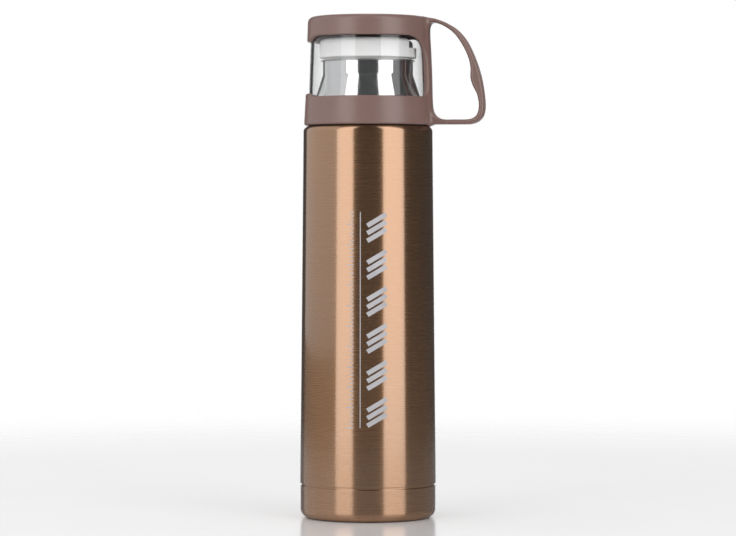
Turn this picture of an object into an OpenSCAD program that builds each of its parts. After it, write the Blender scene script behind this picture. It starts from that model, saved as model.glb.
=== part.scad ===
// Vacuum flask: a double-walled steel bottle, a push-button stopper and a screw-on cup with a handle.
// The origin is on the bottle's axis, on the surface that it stands on. The cup's handle is along +X.
// The radii are worked out from the outside inwards, and the heights from the table upwards.

/* [Bottle] */
// Radius of the outer shell at its lower edge
shell_r = 34.2; // [27:0.2:42]
// How much narrower the outer shell is at its shoulder
shell_taper = 1.7; // [0:0.1:3]
// Height of the shoulder above the table
shoulder_z = 196.4; // [150:0.2:240]
// Radius that rounds the shoulder
shoulder_fillet = 3; // [1:0.1:4]
// Thickness of the outer shell's sheet
shell_wall = 0.6; // [0.4:0.05:1]
// Height of the cap under the bottle
base_h = 16.4; // [13:0.1:20]
// Radius that rounds the base cap's lower corner
base_fillet = 7; // [3:0.1:9]
// Wall of the base cap
base_wall = 0.9; // [0.6:0.05:1.5]
// Height of the seam between the base cap and the shell
seam_h = 0.9; // [0.3:0.1:1.5]
// How far the base cap stands in from the shell
base_inset = 0.2; // [0:0.05:0.5]

/* [Inner bottle] */
// Vacuum gap beside the inner bottle, at the shoulder
vacuum_gap = 2.6; // [1.5:0.1:4]
// Thickness of the inner bottle's sheet
liner_wall = 0.6; // [0.4:0.05:1]
// Height of the space between the vacuum closure and the inner bottle
bottom_gap = 5; // [4:0.5:9]
// Thickness of the copper foil sleeve
foil_wall = 0.2; // [0.15:0.05:0.4]

/* [Neck] */
// Height of the collar that the cup screws onto
collar_h = 14.6; // [12:0.1:18]
// Height of the cone between the collar and the neck
cone_h = 11.2; // [8:0.1:15]
// Height of the straight neck above the cone
neck_h = 7.1; // [5:0.1:9]
// How far the cone narrows from the collar to the neck
cone_run = 3.8; // [3:0.1:5]
// Thickness of the neck collar's sheet
collar_wall = 0.7; // [0.5:0.05:1]
// Gap between the collar's wall and the inner bottle's neck
neck_gap = 0.6; // [0.4:0.05:1.2]

/* [Threads] */
// Distance between neighbouring thread ridges
thread_pitch = 4; // [3.3:0.1:5]
// Height of a thread ridge
thread_depth = 0.9; // [0.7:0.05:1.1]
// Room between a ridge's tip and the wall that it faces
thread_gap = 0.35; // [0.3:0.05:0.5]
// Angle that one ridge runs round
thread_sweep = 150; // [100:5:180]

/* [Cup] */
// Gap between the bottle's shoulder and the cup's frame
cup_gap = 0.8; // [0.6:0.1:2]
// How far the cup's foot stands in from the shoulder
cup_inset = 0.4; // [0:0.05:1]
// Wall of the frame at the cup's foot
frame_wall = 1.9; // [1.5:0.1:2.5]
// Wall of the clear liner at its mouth
cup_wall = 2.05; // [1.6:0.05:2.6]
// Height of the frame's lower band
low_band_h = 13.7; // [10:0.1:16]
// Height of the frame's top band
top_band_h = 10.5; // [8:0.1:13]
// Thickness of the frame's lid
frame_lid = 2.3; // [1.8:0.1:3]
// Thickness of the clear liner's floor
cup_floor = 1.8; // [1.2:0.1:2.5]
// Room between the button and the clear liner's floor
headroom = 7.4; // [5:0.2:12]
// Radius that rounds the frame's top
lid_fillet = 3; // [1.5:0.1:3.5]
// Height of the soft ring that the cup stands on
seat_h = 2; // [1.5:0.1:3]

/* [Handle] */
// Width of the handle's strap
strap_w = 10; // [8:0.5:13]
// Width of the frame's pillar behind the handle, beyond the strap's on each side
pillar_edge = 0.4; // [0.2:0.1:1.5]
// Half-width of the lugs opposite the handle, where they leave the bands
lug_w = 20.5; // [16:0.5:24]
// How far the top band's lug hangs below it
lug_h = 2.4; // [1:0.1:4]
// How far the lower band's lug stands above it
low_lug_h = 1.7; // [1:0.1:4]
// Radius of the fillets beside the lugs
lug_r = 14; // [10:0.5:16]
// Radius of the window's top corner beside the handle
window_r_top = 14.3; // [8:0.1:15]
// Radius of the window's bottom corner beside the handle
window_r = 5.5; // [3:0.1:7]

/* [Stopper] */
// Length of the plug below the neck's rim
plug_l = 25; // [23:0.5:30]
// Wall of the plug
plug_wall = 2; // [1.5:0.1:3]
// Thickness of the stopper's gasket
gasket_h = 1.1; // [0.8:0.1:1.6]
// How far the cover stands out from the neck
cover_lip = 1.7; // [1.4:0.1:2.2]
// Height of the cover
cover_h = 9.6; // [9:0.1:13]
// Wall of the cover
cover_wall = 1.8; // [1.4:0.1:2]
// Radius that rounds the cover's top
cover_fillet = 2.2; // [1:0.1:3]
// Width of the pouring notch in the cover
notch_w = 21.8; // [14:0.2:26]
// Depth of the notch from the cover's side
notch_depth = 5.8; // [4:0.1:7]
// Height of the notch's ledge above the cover's lower edge
notch_z = 4.7; // [4:0.1:6]
// Width of the cover's top around the button
button_rim = 11; // [9:0.1:12.5]

/* [Button and valve] */
// How far the button travels
button_travel = 3; // [2:0.1:3.5]
// Radius of the valve's stem
stem_r = 2; // [1.6:0.1:2.4]
// Radius of the opening that the valve closes
port_r = 8.4; // [7:0.1:10]
// Mean radius of the button's spring
spring_r = 5.2; // [4.6:0.1:6.2]
// Diameter of the spring's wire
spring_wire = 0.9; // [0.7:0.05:1.1]
// Turns of the spring
spring_turns = 5; // [4:0.5:7]

/* [Hidden] */
$fn = 96;
EPS = 0.01;                      // overlap that joins solids of one node
press_gap = 0.05;                // between pieces that are fitted together for good
run_gap = 0.3;                   // between pieces that move past each other
stem_gap = 0.06;                 // between the stem and its guide
thread_bite = 0.25;              // depth that a ridge is rooted in its wall
thread_starts = 3;
thread_root_w = 1.7;             // width of a ridge at its wall
thread_tip_w = 0.9;              // width of a ridge at its tip
thread_steps = 15;
thread_turn = 17;                // angle from the handle to the first ridge's lower end
thread_lead = thread_pitch * thread_starts;
ridge_rise = thread_lead * thread_sweep / 360;
arc_steps = 10;

// Base and shell
shell_z = base_h + seam_h;
shell_top_r = shell_r - shell_taper;
shell_slope = shell_taper / (shoulder_z - shoulder_fillet - shell_z);
base_r = shell_r - base_inset;
foot_in = 3;                     // from the base's corner to the inside of its foot
foot_recess = 1.2;
spigot_h = 5;
spigot_wall = 1.2;
spigot_r = shell_at(shell_z + spigot_h) - shell_wall - press_gap;
closure_z = shell_z + spigot_h + 1;
closure_flange_h = 3;
closure_r = shell_at(closure_z + closure_flange_h) - shell_wall - press_gap;
closure_top = closure_z + closure_flange_h;
dimple_r = 8;
dimple_h = 2.4;
evac_r = 1.2;                    // the hole that the air is drawn out through
getter_r = 4;
getter_h = 1.4;
getter_x = 15;

// Cup, from its outside inwards
cup_z = shoulder_z + cup_gap;
cup_r = shell_top_r - cup_inset;
liner_mouth_r = cup_r - frame_wall - press_gap;
thread_wall_r = liner_mouth_r - cup_wall;
liner_z = shoulder_z + seat_h;
seat_r = liner_mouth_r - run_gap;

// Collar and neck
thread_step = thread_depth + thread_gap;
collar_r = thread_wall_r - thread_step;
collar_z = shoulder_z + collar_h;
cone_r = collar_r - 0.45;
neck_z = collar_z + cone_h;
neck_r = cone_r - cone_run;
lip_r = neck_r + 1;
rim_z = neck_z + neck_h;
ledge_r = collar_r + 0.4;
collar_flange_r = shell_top_r - shoulder_fillet - 0.2;

// Inner bottle
liner_r = shell_top_r - shell_wall - vacuum_gap;
liner_bottom_z = closure_top + bottom_gap;
neck_out_r = neck_r - collar_wall - neck_gap;
bore_r = neck_out_r - liner_wall;
body_fillet = 8;
neck_fillet = 6;
shoulder_lean = 55;              // angle that the inner bottle's shoulder turns through
shoulder_run = liner_r - neck_out_r - (body_fillet + neck_fillet) * (1 - cos(shoulder_lean));
shoulder_rise = (body_fillet + neck_fillet) * sin(shoulder_lean)
    + shoulder_run / tan(shoulder_lean);
liner_shoulder_z = shoulder_z - 20.4;
foil_inset = 8;
liner_cup_h = 4;

// Stopper
plug_r = bore_r - thread_step;
plug_z = rim_z - plug_l;
plug_floor = 2;
flange_z = rim_z + gasket_h;
flange_h = 1.4;
flange_r = neck_r + 0.25;
gasket_r = neck_r - 1;
gasket_in_r = plug_r + press_gap;
cover_r = neck_r + cover_lip;
cover_z = flange_z + cover_h;
cover_ledge_h = 1.2;             // the ledge that holds the cover on the plug's flange
cover_ledge_r = flange_r - 2.4;

// Button, spring and valve
button_hole_r = cover_r - button_rim;
button_r = button_hole_r - run_gap;
button_z = cover_z - 0.4;
button_wall = 1.5;
button_lid = 2;
retainer_step = 1.1;
plate_z = cover_z - cover_wall;
spring_z = rim_z - 1.7;
button_skirt_z = spring_z + button_travel + 0.9;
spring_top = button_z - button_lid;
spring_sides = 8;
spring_steps = 14;               // rings in one turn of the spring
guide_r = 4.6;
guide_l = 17;
spring_seat_r = spring_r + spring_wire / 2 + 0.8;
rib_w = 1.4;
rib_h = 6;
stem_seal_w = 1.4;
stem_seal_h = 1.6;
stem_boss_r = 4;
washer_h = 2;
washer_r = port_r + 2;
valve_plate_h = 1.2;
valve_plate_r = port_r - 0.6;
stem_head_h = 0.8;

// Cup heights
ceiling_z = button_z + headroom;
liner_top = ceiling_z + cup_floor;
lid_z = liner_top + run_gap;
cup_top = lid_z + frame_lid;
cup_h = cup_top - cup_z;
low_band_z = cup_z + low_band_h;
top_band_z = cup_top - top_band_h;
low_band_taper = 0.7;
window_taper = 0.95;
top_band_taper = 0.35;
low_band_r = cup_r - low_band_taper;
top_band_r = low_band_r - window_taper;
cup_top_r = top_band_r - top_band_taper;
liner_top_r = cup_top_r - frame_wall + 0.3;
lid_dome = 0.3;
band_edge = 0.6;                 // the taper changes this far inside a band's edge
cup_corner = 3;
pillar_w = strap_w + 2 * pillar_edge;

// Handle outline: [distance out from the cup's foot, height above it], drawn on a cup this high
handle_drawn_h = 53.9;
handle_outer = [[-6, 53], [3, 53], [8, 51], [13.5, 47], [18.2, 41], [22, 33], [24.7, 25], [26.3, 17],
    [27, 9.5], [26.4, 5], [24.9, 2.5], [22.6, 0.8], [19.5, 0]];
handle_hole = [[1.4, 50.6], [6.2, 49], [11.8, 45], [16.1, 39], [18.9, 33], [20, 28], [20, 23], [21.2, 19],
    [23.2, 15], [24.2, 10], [23.7, 6], [22.2, 3.7], [19, 2.5], [12, 2.4], [6.5, 2.5], [3, 3.9], [1, 7.2],
    [0.4, 13], [0.2, 24], [-0.4, 36], [-0.9, 45], [-0.4, 49]];

// Outside radius of the shell at a height
function shell_at(z) = shell_r - shell_slope * (z - shell_z);

// Points along an arc about c, from angle a0 to a1
function arc(c, r, a0, a1, n = arc_steps) =
    [for (i = [0 : n]) let (a = a0 + (a1 - a0) * i / n) [c[0] + r * cos(a), c[1] + r * sin(a)]];

function reversed(list) = [for (i = [len(list) - 1 : -1 : 0]) list[i]];

// A smooth curve through four neighbouring points, between the middle two
function blend(a, b, c, d, t) =
    (2 * b + (c - a) * t + (2 * a - 5 * b + 4 * c - d) * pow(t, 2) + (3 * b - a - 3 * c + d) * pow(t, 3)) / 2;

// A smooth curve through all the points: a loop, or open with its ends where they are
function smooth(pts, loop, n = 4) =
    let (last = len(pts) - 1, at = function(i) loop ? pts[(i + len(pts)) % len(pts)] : pts[max(0, min(last, i))])
    [for (i = [0 : loop ? last : last - 1], k = [0 : n - 1])
        blend(at(i - 1), at(i), at(i + 1), at(i + 2), k / n)];

// Side faces of a sweep of rings, each with the given number of corners, and its two ends
function sweep_faces(rings, corners) = concat(
    [[for (j = [corners - 1 : -1 : 0]) j]],
    [[for (j = [0 : corners - 1]) (rings - 1) * corners + j]],
    [for (i = [0 : rings - 2], j = [0 : corners - 1])
        let (k = (j + 1) % corners)
        [i * corners + j, i * corners + k, (i + 1) * corners + k, (i + 1) * corners + j]]);

// One helical thread ridge that rises from height 0, on a wall of root_r
module ridge(root_r, tip_r) {
    inward = tip_r < root_r;
    bite = inward ? thread_bite : -thread_bite;
    pts = [for (i = [0 : thread_steps])
        let (t = i / thread_steps, a = thread_sweep * t, z = ridge_rise * t,
             share = max(0.1, min(1, i / 2, (thread_steps - i) / 2)),
             tip = root_r + (tip_r - root_r) * share)
        for (c = [[root_r + bite, -thread_root_w / 2], [tip, -thread_tip_w / 2],
                  [tip, thread_tip_w / 2], [root_r + bite, thread_root_w / 2]])
        [c[0] * cos(a), c[0] * sin(a), z + c[1]]];
    faces = sweep_faces(thread_steps + 1, 4);
    polyhedron(pts, inward ? [for (f = faces) reversed(f)] : faces, convexity = 4);
}

// The ridges of all the thread's starts, from height z
module thread(root_r, tip_r, z) {
    for (k = [0 : thread_starts - 1])
        rotate([0, 0, thread_turn + 360 * k / thread_starts])
            translate([0, 0, z])
                ridge(root_r, tip_r);
}

module ring(r_out, r_in, z, h) {
    translate([0, 0, z])
        difference() {
            cylinder(r = r_out, h = h);
            translate([0, 0, -1])
                cylinder(r = r_in, h = h + 2);
        }
}

// ---- Bottle ----

// Half section of the shell's outside, moved in by d
function shell_line(d) = concat(
    [[shell_r - d, shell_z]],
    arc([shell_top_r - shoulder_fillet, shoulder_z - shoulder_fillet], shoulder_fillet - d, 0, 90),
    [[ledge_r, shoulder_z - d]]);

module outer_shell() {
    color("#9a7648")
        rotate_extrude()
            polygon(concat(shell_line(0), reversed(shell_line(shell_wall))));
}

// Half section of the base cap's outside, moved in by d
function base_line(d) = concat(
    [[0, foot_recess + d], [base_r - base_fillet - foot_in, foot_recess + d],
     [base_r - base_fillet - foot_in + foot_recess, d]],
    arc([base_r - base_fillet, base_fillet], base_fillet - d, -90, 0),
    [[base_r - d, base_h]]);

module base_cap() {
    color("#97734a") {
        rotate_extrude()
            polygon(concat(base_line(0), reversed(base_line(base_wall))));
        ring(spigot_r, spigot_r - spigot_wall, base_h - 2, spigot_h + seam_h + 2);
    }
}

module outer_bottom() {
    color("#b9bbbd")
        difference() {
            union() {
                ring(closure_r, closure_r - shell_wall, closure_z, closure_flange_h);
                translate([0, 0, closure_top - shell_wall])
                    cylinder(r = closure_r, h = shell_wall);
                translate([0, 0, closure_top - dimple_h])
                    cylinder(r = dimple_r, h = dimple_h);
            }
            translate([0, 0, closure_top - dimple_h + shell_wall])
                cylinder(r = dimple_r - shell_wall, h = dimple_h);
            translate([0, 0, closure_z - 1])
                cylinder(r = evac_r, h = closure_flange_h + 2);
        }
}

module seal_plug() {
    plug_top = closure_top - dimple_h;
    color("#6f7275")
        rotate_extrude()
            polygon(concat([[0, plug_top + shell_wall / 2], [evac_r - press_gap, plug_top + shell_wall / 2],
                            [evac_r - press_gap, plug_top]],
                           [for (p = arc([0, plug_top], 1, 0, -90)) [p[0] * 3, plug_top + (p[1] - plug_top) * 1.5]]));
}

module getter() {
    color("#8a8d90")
        translate([getter_x, 0, closure_top])
            cylinder(r = getter_r, h = getter_h);
}

// Half section of the inner bottle's outside, moved in by d, from its open foot to its rim
function liner_line(d) = concat(
    [[liner_r - d, liner_bottom_z + liner_wall]],
    arc([liner_r - body_fillet, liner_shoulder_z], body_fillet - d, 0, shoulder_lean),
    arc([neck_out_r + neck_fillet, liner_shoulder_z + shoulder_rise], neck_fillet + d,
        180 + shoulder_lean, 180),
    [[neck_out_r - d, rim_z - (d > 0 ? 0 : liner_wall)]]);

module inner_liner() {
    color("#c9cbcd") {
        rotate_extrude()
            polygon(concat(liner_line(0), [[lip_r, rim_z - liner_wall], [lip_r, rim_z]],
                           reversed(liner_line(liner_wall))));
        thread(bore_r, bore_r - thread_depth, plug_z + 5 + thread_pitch / 2);
    }
}

module liner_bottom() {
    cap_r = liner_r - liner_wall - press_gap;
    color("#c4c6c8")
        rotate_extrude()
            polygon([[0, liner_bottom_z], [liner_r, liner_bottom_z], [liner_r, liner_bottom_z + liner_wall],
                     [cap_r, liner_bottom_z + liner_wall], [cap_r, liner_bottom_z + liner_cup_h],
                     [cap_r - liner_wall, liner_bottom_z + liner_cup_h],
                     [cap_r - liner_wall, liner_bottom_z + liner_wall * 2], [0, liner_bottom_z + liner_wall * 2]]);
}

module copper_foil() {
    foil_r = liner_r + foil_wall + 2 * press_gap;
    color("#b06a3a")
        ring(foil_r, foil_r - foil_wall, liner_bottom_z + foil_inset,
             liner_shoulder_z - liner_bottom_z - 2 * foil_inset);
}

// Half section of the neck collar's outside, moved in by d
function collar_line(d) = [
    [collar_flange_r, shoulder_z - shell_wall - (d > 0 ? d : 0)],
    [collar_r - d, shoulder_z - shell_wall - (d > 0 ? d : 0)],
    [collar_r - d, collar_z - 0.5], [cone_r - d, collar_z], [neck_r - d, neck_z],
    [neck_r - d, rim_z - liner_wall]];

module neck_collar() {
    color("#d4d6d8") {
        rotate_extrude()
            polygon(concat(collar_line(0), reversed(collar_line(collar_wall))));
        thread(collar_r, collar_r + thread_depth, shoulder_z + 3.4 + thread_pitch / 2);
    }
}

// ---- Stopper ----

module stopper_gasket() {
    color("#e8e6df")
        ring(gasket_r, gasket_in_r, rim_z, gasket_h);
}

module stopper_body() {
    guide_z = spring_z - guide_l;
    color("#cfcfcc") {
        difference() {
            union() {
                ring(plug_r, plug_r - plug_wall, plug_z, flange_z - plug_z + EPS);
                ring(plug_r - EPS, port_r, plug_z, plug_floor);
                ring(flange_r, plug_r - plug_wall, flange_z, flange_h);
                translate([0, 0, guide_z])
                    cylinder(r = guide_r, h = guide_l);
                translate([0, 0, spring_z - 1.2])
                    cylinder(r = spring_seat_r, h = 1.2);
                for (k = [0 : 2])
                    rotate([0, 0, 120 * k])
                        translate([guide_r - 1, -rib_w / 2, guide_z])
                            cube([plug_r - plug_wall - guide_r + 2, rib_w, rib_h]);
            }
            translate([0, 0, guide_z - 1])
                cylinder(r = stem_r + stem_gap, h = guide_l + 2);
            translate([0, 0, spring_z - stem_seal_h - 1])
                cylinder(r = stem_r + stem_seal_w + press_gap, h = stem_seal_h + 2);
        }
        thread(plug_r, plug_r + thread_depth, plug_z + 5);
    }
}

module stopper_cover() {
    room_r = cover_r - cover_wall;
    ledge_z = flange_z + flange_h + press_gap;
    color("#d9d9d6")
        difference() {
            rotate_extrude()
                polygon(concat(
                    [[flange_r + press_gap, flange_z]],
                    arc([cover_r - 0.8, flange_z + 0.8], 0.8, -90, 0, 5),
                    arc([cover_r - cover_fillet, cover_z - cover_fillet], cover_fillet, 0, 90),
                    [[button_hole_r, cover_z], [button_hole_r, plate_z], [room_r, plate_z],
                     [room_r, ledge_z + cover_ledge_h], [cover_ledge_r, ledge_z + cover_ledge_h],
                     [cover_ledge_r, ledge_z], [flange_r + press_gap, ledge_z]]));
            translate([cover_r - notch_depth, -notch_w / 2, flange_z + notch_z])
                cube([notch_depth + 1, notch_w, cover_h]);
        }
}

module stem_seal() {
    color("#2f2f2f")
        ring(stem_r + stem_seal_w, stem_r + stem_gap, spring_z - stem_seal_h - 1, stem_seal_h);
}

module button_spring() {
    rings = spring_turns * spring_steps;
    run = spring_top - spring_z - spring_wire;
    pts = [for (i = [0 : rings])
        let (a = 360 * i / spring_steps, z = spring_z + spring_wire / 2 + run * i / rings)
        for (j = [0 : spring_sides - 1])
            let (b = 360 * j / spring_sides, r = spring_r + spring_wire / 2 * cos(b))
            [r * cos(a), r * sin(a), z + spring_wire / 2 * sin(b)]];
    color("#a9abad")
        polyhedron(pts, sweep_faces(rings + 1, spring_sides), convexity = 8);
}

module push_button() {
    color("#e3e3e0")
        rotate_extrude()
            polygon(concat(
                [[0, button_z - 0.5], [button_r - 3, button_z - 0.3]],
                arc([button_r - 1, button_z - 1], 1, 90, 0, 5),
                [[button_r, plate_z], [button_r + retainer_step + run_gap, plate_z],
                 [button_r + retainer_step + run_gap, plate_z - 1.2], [button_r, plate_z - 1.2],
                 [button_r, button_skirt_z], [button_r - button_wall, button_skirt_z],
                 [button_r - button_wall, spring_top], [stem_boss_r, spring_top],
                 [stem_boss_r, spring_top - 3], [stem_r + press_gap, spring_top - 3],
                 [stem_r + press_gap, spring_top], [0, spring_top]]));
}

module valve_stem() {
    washer_z = plug_z - washer_h;
    plate_low = washer_z - valve_plate_h;
    color("#f0efea")
        rotate_extrude()
            polygon([[0, plate_low - stem_head_h], [stem_r + 0.3, plate_low - stem_head_h],
                     [stem_r + 0.8, plate_low], [stem_r, plate_low], [stem_r, plug_z],
                     [stem_r + 3, plug_z], [stem_r + 3, plug_z + 1], [stem_r, plug_z + 1],
                     [stem_r, spring_top - 0.2], [0, spring_top - 0.2]]);
}

module valve_washer() {
    color("#d8d4c8")
        ring(washer_r, stem_r + press_gap, plug_z - washer_h, washer_h);
}

module valve_plate() {
    color("#cfcfcc")
        ring(valve_plate_r, stem_r + press_gap, plug_z - washer_h - valve_plate_h, valve_plate_h);
}

// ---- Cup ----

module cup_seat_ring() {
    color("#3a3836")
        ring(seat_r, thread_wall_r, shoulder_z, seat_h);
}

module cup_liner() {
    color("#dfe6ea", 0.4) {
        rotate_extrude()
            polygon(concat(
                [[thread_wall_r, liner_z], [liner_mouth_r, liner_z]],
                arc([liner_top_r - cup_corner, liner_top - cup_corner], cup_corner, 0, 90, 6),
                [[0, liner_top], [0, ceiling_z]],
                arc([liner_top_r - cup_floor - cup_corner, ceiling_z - cup_corner], cup_corner, 90, 0, 6),
                [[thread_wall_r, low_band_z]]));
        thread(thread_wall_r, thread_wall_r - thread_depth, shoulder_z + 3.4);
    }
}

// Half section of the room for the liner inside the frame
module liner_room() {
    polygon(concat(
        [[0, cup_z - 1], [liner_mouth_r + press_gap, cup_z - 1], [liner_mouth_r + press_gap, liner_z]],
        arc([liner_top_r + press_gap - cup_corner, lid_z - cup_corner], cup_corner, 0, 90, 6),
        [[0, lid_z]]));
}

// Outline of the window beside the handle's pillar, as [distance from the handle's plane, height]
function window_line() =
    let (edge = pillar_w / 2)
    concat(
        arc([edge + window_r, low_band_z + window_r], window_r, 270, 180),
        arc([edge + window_r_top, top_band_z - window_r_top], window_r_top, 180, 90),
        [[cup_r + 1, top_band_z], [cup_r + 1, low_band_z]]);

// Cuts the window's outline on the handle's side, just past the axis
module window_cut() {
    rotate([90, 0, 90])
        translate([0, 0, -1])
            linear_extrude(cup_r + 2)
                polygon(window_line());
}

// Edge of the far window along a band at height z, with a lug that stands h off it, upwards or downwards
function lug_line(z, h, way) =
    let (lean = acos(1 - h / lug_r),
         side = [for (i = [0 : 5]) let (a = lean * i / 5) [lug_w - lug_r * sin(a), z + way * lug_r * (1 - cos(a))]])
    concat([[cup_r + 1, z]], side, [for (p = reversed(side)) [-p[0], p[1]]], [[-cup_r - 1, z]]);

// Cuts the window that runs round the far side between the lugs
module far_window_cut() {
    rotate([90, 0, -90])
        translate([0, 0, -1])
            linear_extrude(cup_r + 2)
                polygon(concat(lug_line(low_band_z, low_lug_h, 1), reversed(lug_line(top_band_z, lug_h, -1))));
}

module cup_frame() {
    handle_pt = function(p) [cup_r + p[0], cup_z + p[1] * cup_h / handle_drawn_h];
    outer = [for (p = smooth(handle_outer, false)) handle_pt(p)];
    hole = [for (p = smooth(handle_hole, true)) handle_pt(p)];
    color("#8d7268")
        difference() {
            union() {
                rotate_extrude()
                    polygon(concat(
                        [[0, cup_z], [cup_r, cup_z], [low_band_r, low_band_z - band_edge],
                         [top_band_r, top_band_z + band_edge]],
                        arc([cup_top_r - lid_fillet, cup_top - lid_dome - lid_fillet], lid_fillet, 0, 90),
                        [[0, cup_top]]));
                rotate([90, 0, 0])
                    translate([0, 0, -strap_w / 2])
                        linear_extrude(strap_w)
                            difference() {
                                polygon(concat(outer, [handle_pt([19.5, 0]), handle_pt([-3, 0]), handle_pt([-5, 10])]));
                                polygon(hole);
                            }
            }
            rotate_extrude()
                liner_room();
            for (side = [0, 1])
                mirror([0, side, 0])
                    window_cut();
            far_window_cut();
        }
}

outer_shell();
base_cap();
outer_bottom();
seal_plug();
getter();
inner_liner();
liner_bottom();
copper_foil();
neck_collar();
stopper_gasket();
stopper_body();
stopper_cover();
stem_seal();
button_spring();
push_button();
valve_stem();
valve_washer();
valve_plate();
cup_seat_ring();
cup_liner();
cup_frame();
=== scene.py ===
"""A vacuum flask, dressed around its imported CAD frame.

Sizes are in millimetres, and each mesh is turned to metres as it is made. The bottle stands on z = 0 with
its axis on Z, and the handle of its cup points along +X. The steel bottle, the printed marks, the stopper,
the valve and the cup are a class each, and so is each finish.
"""

import logging
import math
from collections.abc import Callable, Sequence
from dataclasses import dataclass, field
from enum import Enum

import bmesh
import bpy
import numpy as np
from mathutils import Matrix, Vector


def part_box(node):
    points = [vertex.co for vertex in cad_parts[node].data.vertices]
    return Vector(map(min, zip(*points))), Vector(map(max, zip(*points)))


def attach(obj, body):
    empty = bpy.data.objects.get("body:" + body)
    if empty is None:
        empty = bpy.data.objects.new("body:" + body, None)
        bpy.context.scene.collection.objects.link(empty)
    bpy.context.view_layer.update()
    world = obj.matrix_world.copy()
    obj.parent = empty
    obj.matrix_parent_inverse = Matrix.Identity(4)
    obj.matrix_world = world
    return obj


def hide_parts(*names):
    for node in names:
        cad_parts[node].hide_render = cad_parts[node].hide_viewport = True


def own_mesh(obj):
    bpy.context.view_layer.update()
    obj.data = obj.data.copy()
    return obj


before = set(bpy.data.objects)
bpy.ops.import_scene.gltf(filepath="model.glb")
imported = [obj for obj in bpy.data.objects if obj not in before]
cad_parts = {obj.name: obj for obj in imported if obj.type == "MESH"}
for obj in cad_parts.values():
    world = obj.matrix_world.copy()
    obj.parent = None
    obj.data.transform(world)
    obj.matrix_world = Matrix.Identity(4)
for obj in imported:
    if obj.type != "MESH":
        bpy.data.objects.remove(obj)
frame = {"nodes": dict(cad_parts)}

LOG = logging.getLogger("vacuum_flask")
MM = 0.001

SHARP = 40.0
QUARTER = math.pi / 2

Outline = Sequence[tuple[float, ...]]
Socket = bpy.types.NodeSocket
Colour = tuple[float, float, float]


class Body(Enum):
    """The moving bodies of the flask."""

    FLASK = "flask"
    GASKET = "gasket"
    STOPPER = "stopper"
    BUTTON = "button"
    SEAT_RING = "seat_ring"
    CUP = "cup"


class Lay(Enum):
    """Which way the fine lines of a brushed or drawn metal run, as stretches of a noise along X, Y and Z."""

    ROUND = (12.0, 12.0, 5200.0)
    UPRIGHT = (2400.0, 2400.0, 16.0)
    FLAT = (900.0, 900.0, 900.0)


# ---- Reading the frame ----


@dataclass(frozen=True)
class Span:
    """Where a CAD node lies.

    Args:
        low: Its lowest height.
        high: Its greatest height.
        radius: Its greatest distance from the axis along X.
    """

    low: float
    high: float
    radius: float

    @classmethod
    def of(cls, node: str) -> "Span":
        """Reads a node's span from the frame.

        Args:
            node: The CAD node's name.

        Returns:
            Its span, in millimetres.
        """
        low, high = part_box(node)
        return cls(low.z / MM, high.z / MM, high.x / MM)


# ---- Materials ----


class Tree:
    """The nodes of one material, with its Principled shader."""

    def __init__(self, material: bpy.types.Material) -> None:
        """Clears the material's nodes and adds the shader and the output."""
        material.use_nodes = True
        self.nodes = material.node_tree.nodes
        self.links = material.node_tree.links
        self.nodes.clear()
        self.output = self.nodes.new("ShaderNodeOutputMaterial")
        self.shader = self.nodes.new("ShaderNodeBsdfPrincipled")
        self.links.new(self.shader.outputs[0], self.output.inputs["Surface"])

    def node(self, kind: str, inputs: dict, **properties: object) -> bpy.types.Node:
        """Adds one node.

        Args:
            kind: The node's type, without the leading ShaderNode.
            inputs: Values or sockets for its inputs, by name or number.
            properties: Its settings.

        Returns:
            The node.
        """
        made = self.nodes.new("ShaderNode" + kind)
        for key, value in properties.items():
            setattr(made, key, value)
        self.fill(made, inputs)
        return made

    def fill(self, node: bpy.types.Node, inputs: dict) -> None:
        """Sets or links a node's inputs.

        Args:
            node: The node.
            inputs: Values or sockets, by name or number.
        """
        for key, value in inputs.items():
            if isinstance(value, Socket):
                self.links.new(value, node.inputs[key])
            else:
                node.inputs[key].default_value = value

    def place(self, stretch: tuple[float, float, float]) -> Socket:
        """Returns the piece's own coordinates, stretched along each axis."""
        own = self.node("TexCoord", {}).outputs["Object"]
        return self.node("Mapping", {"Vector": own, "Scale": stretch}).outputs[0]

    def noise(self, stretch: tuple[float, float, float], detail: float = 3.0, rough: float = 0.55) -> Socket:
        """Returns a noise from 0 to 1 over the piece's own coordinates.

        Args:
            stretch: How many times it repeats in a metre, along each axis.
            detail: How many finer layers it has.
            rough: The share of each finer layer.

        Returns:
            The noise's value.
        """
        inputs = {"Vector": self.place(stretch), "Scale": 1.0, "Detail": detail, "Roughness": rough}
        return self.node("TexNoise", inputs).outputs["Fac"]

    def spread(self, value: Socket, low: float, high: float, start: float = 0.3, end: float = 0.7) -> Socket:
        """Maps a value onto another range.

        Args:
            value: The value to map.
            low: The result at start.
            high: The result at end.
            start: Where the range begins.
            end: Where the range ends.

        Returns:
            The mapped value.
        """
        inputs = {0: value, 1: start, 2: end, 3: low, 4: high}
        return self.node("MapRange", inputs).outputs[0]

    def between(self, share: Socket, first: Colour, second: Colour) -> Socket:
        """Returns a colour between two, by a share from 0 to 1."""
        mix = self.node("Mix", {0: share, 6: (*first, 1.0), 7: (*second, 1.0)}, data_type="RGBA")
        return mix.outputs[2]

    def bump(self, height: Socket, strength: float, depth: float, below: Socket | None = None) -> Socket:
        """Turns a height into a surface direction.

        Args:
            height: A value from 0 to 1.
            strength: How much of it shows.
            depth: The height of 1, in millimetres.
            below: The direction of a coarser bump to add it to.

        Returns:
            The direction.
        """
        inputs = {"Height": height, "Strength": strength, "Distance": depth * MM}
        if below is not None:
            inputs["Normal"] = below
        return self.node("Bump", inputs).outputs[0]


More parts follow.
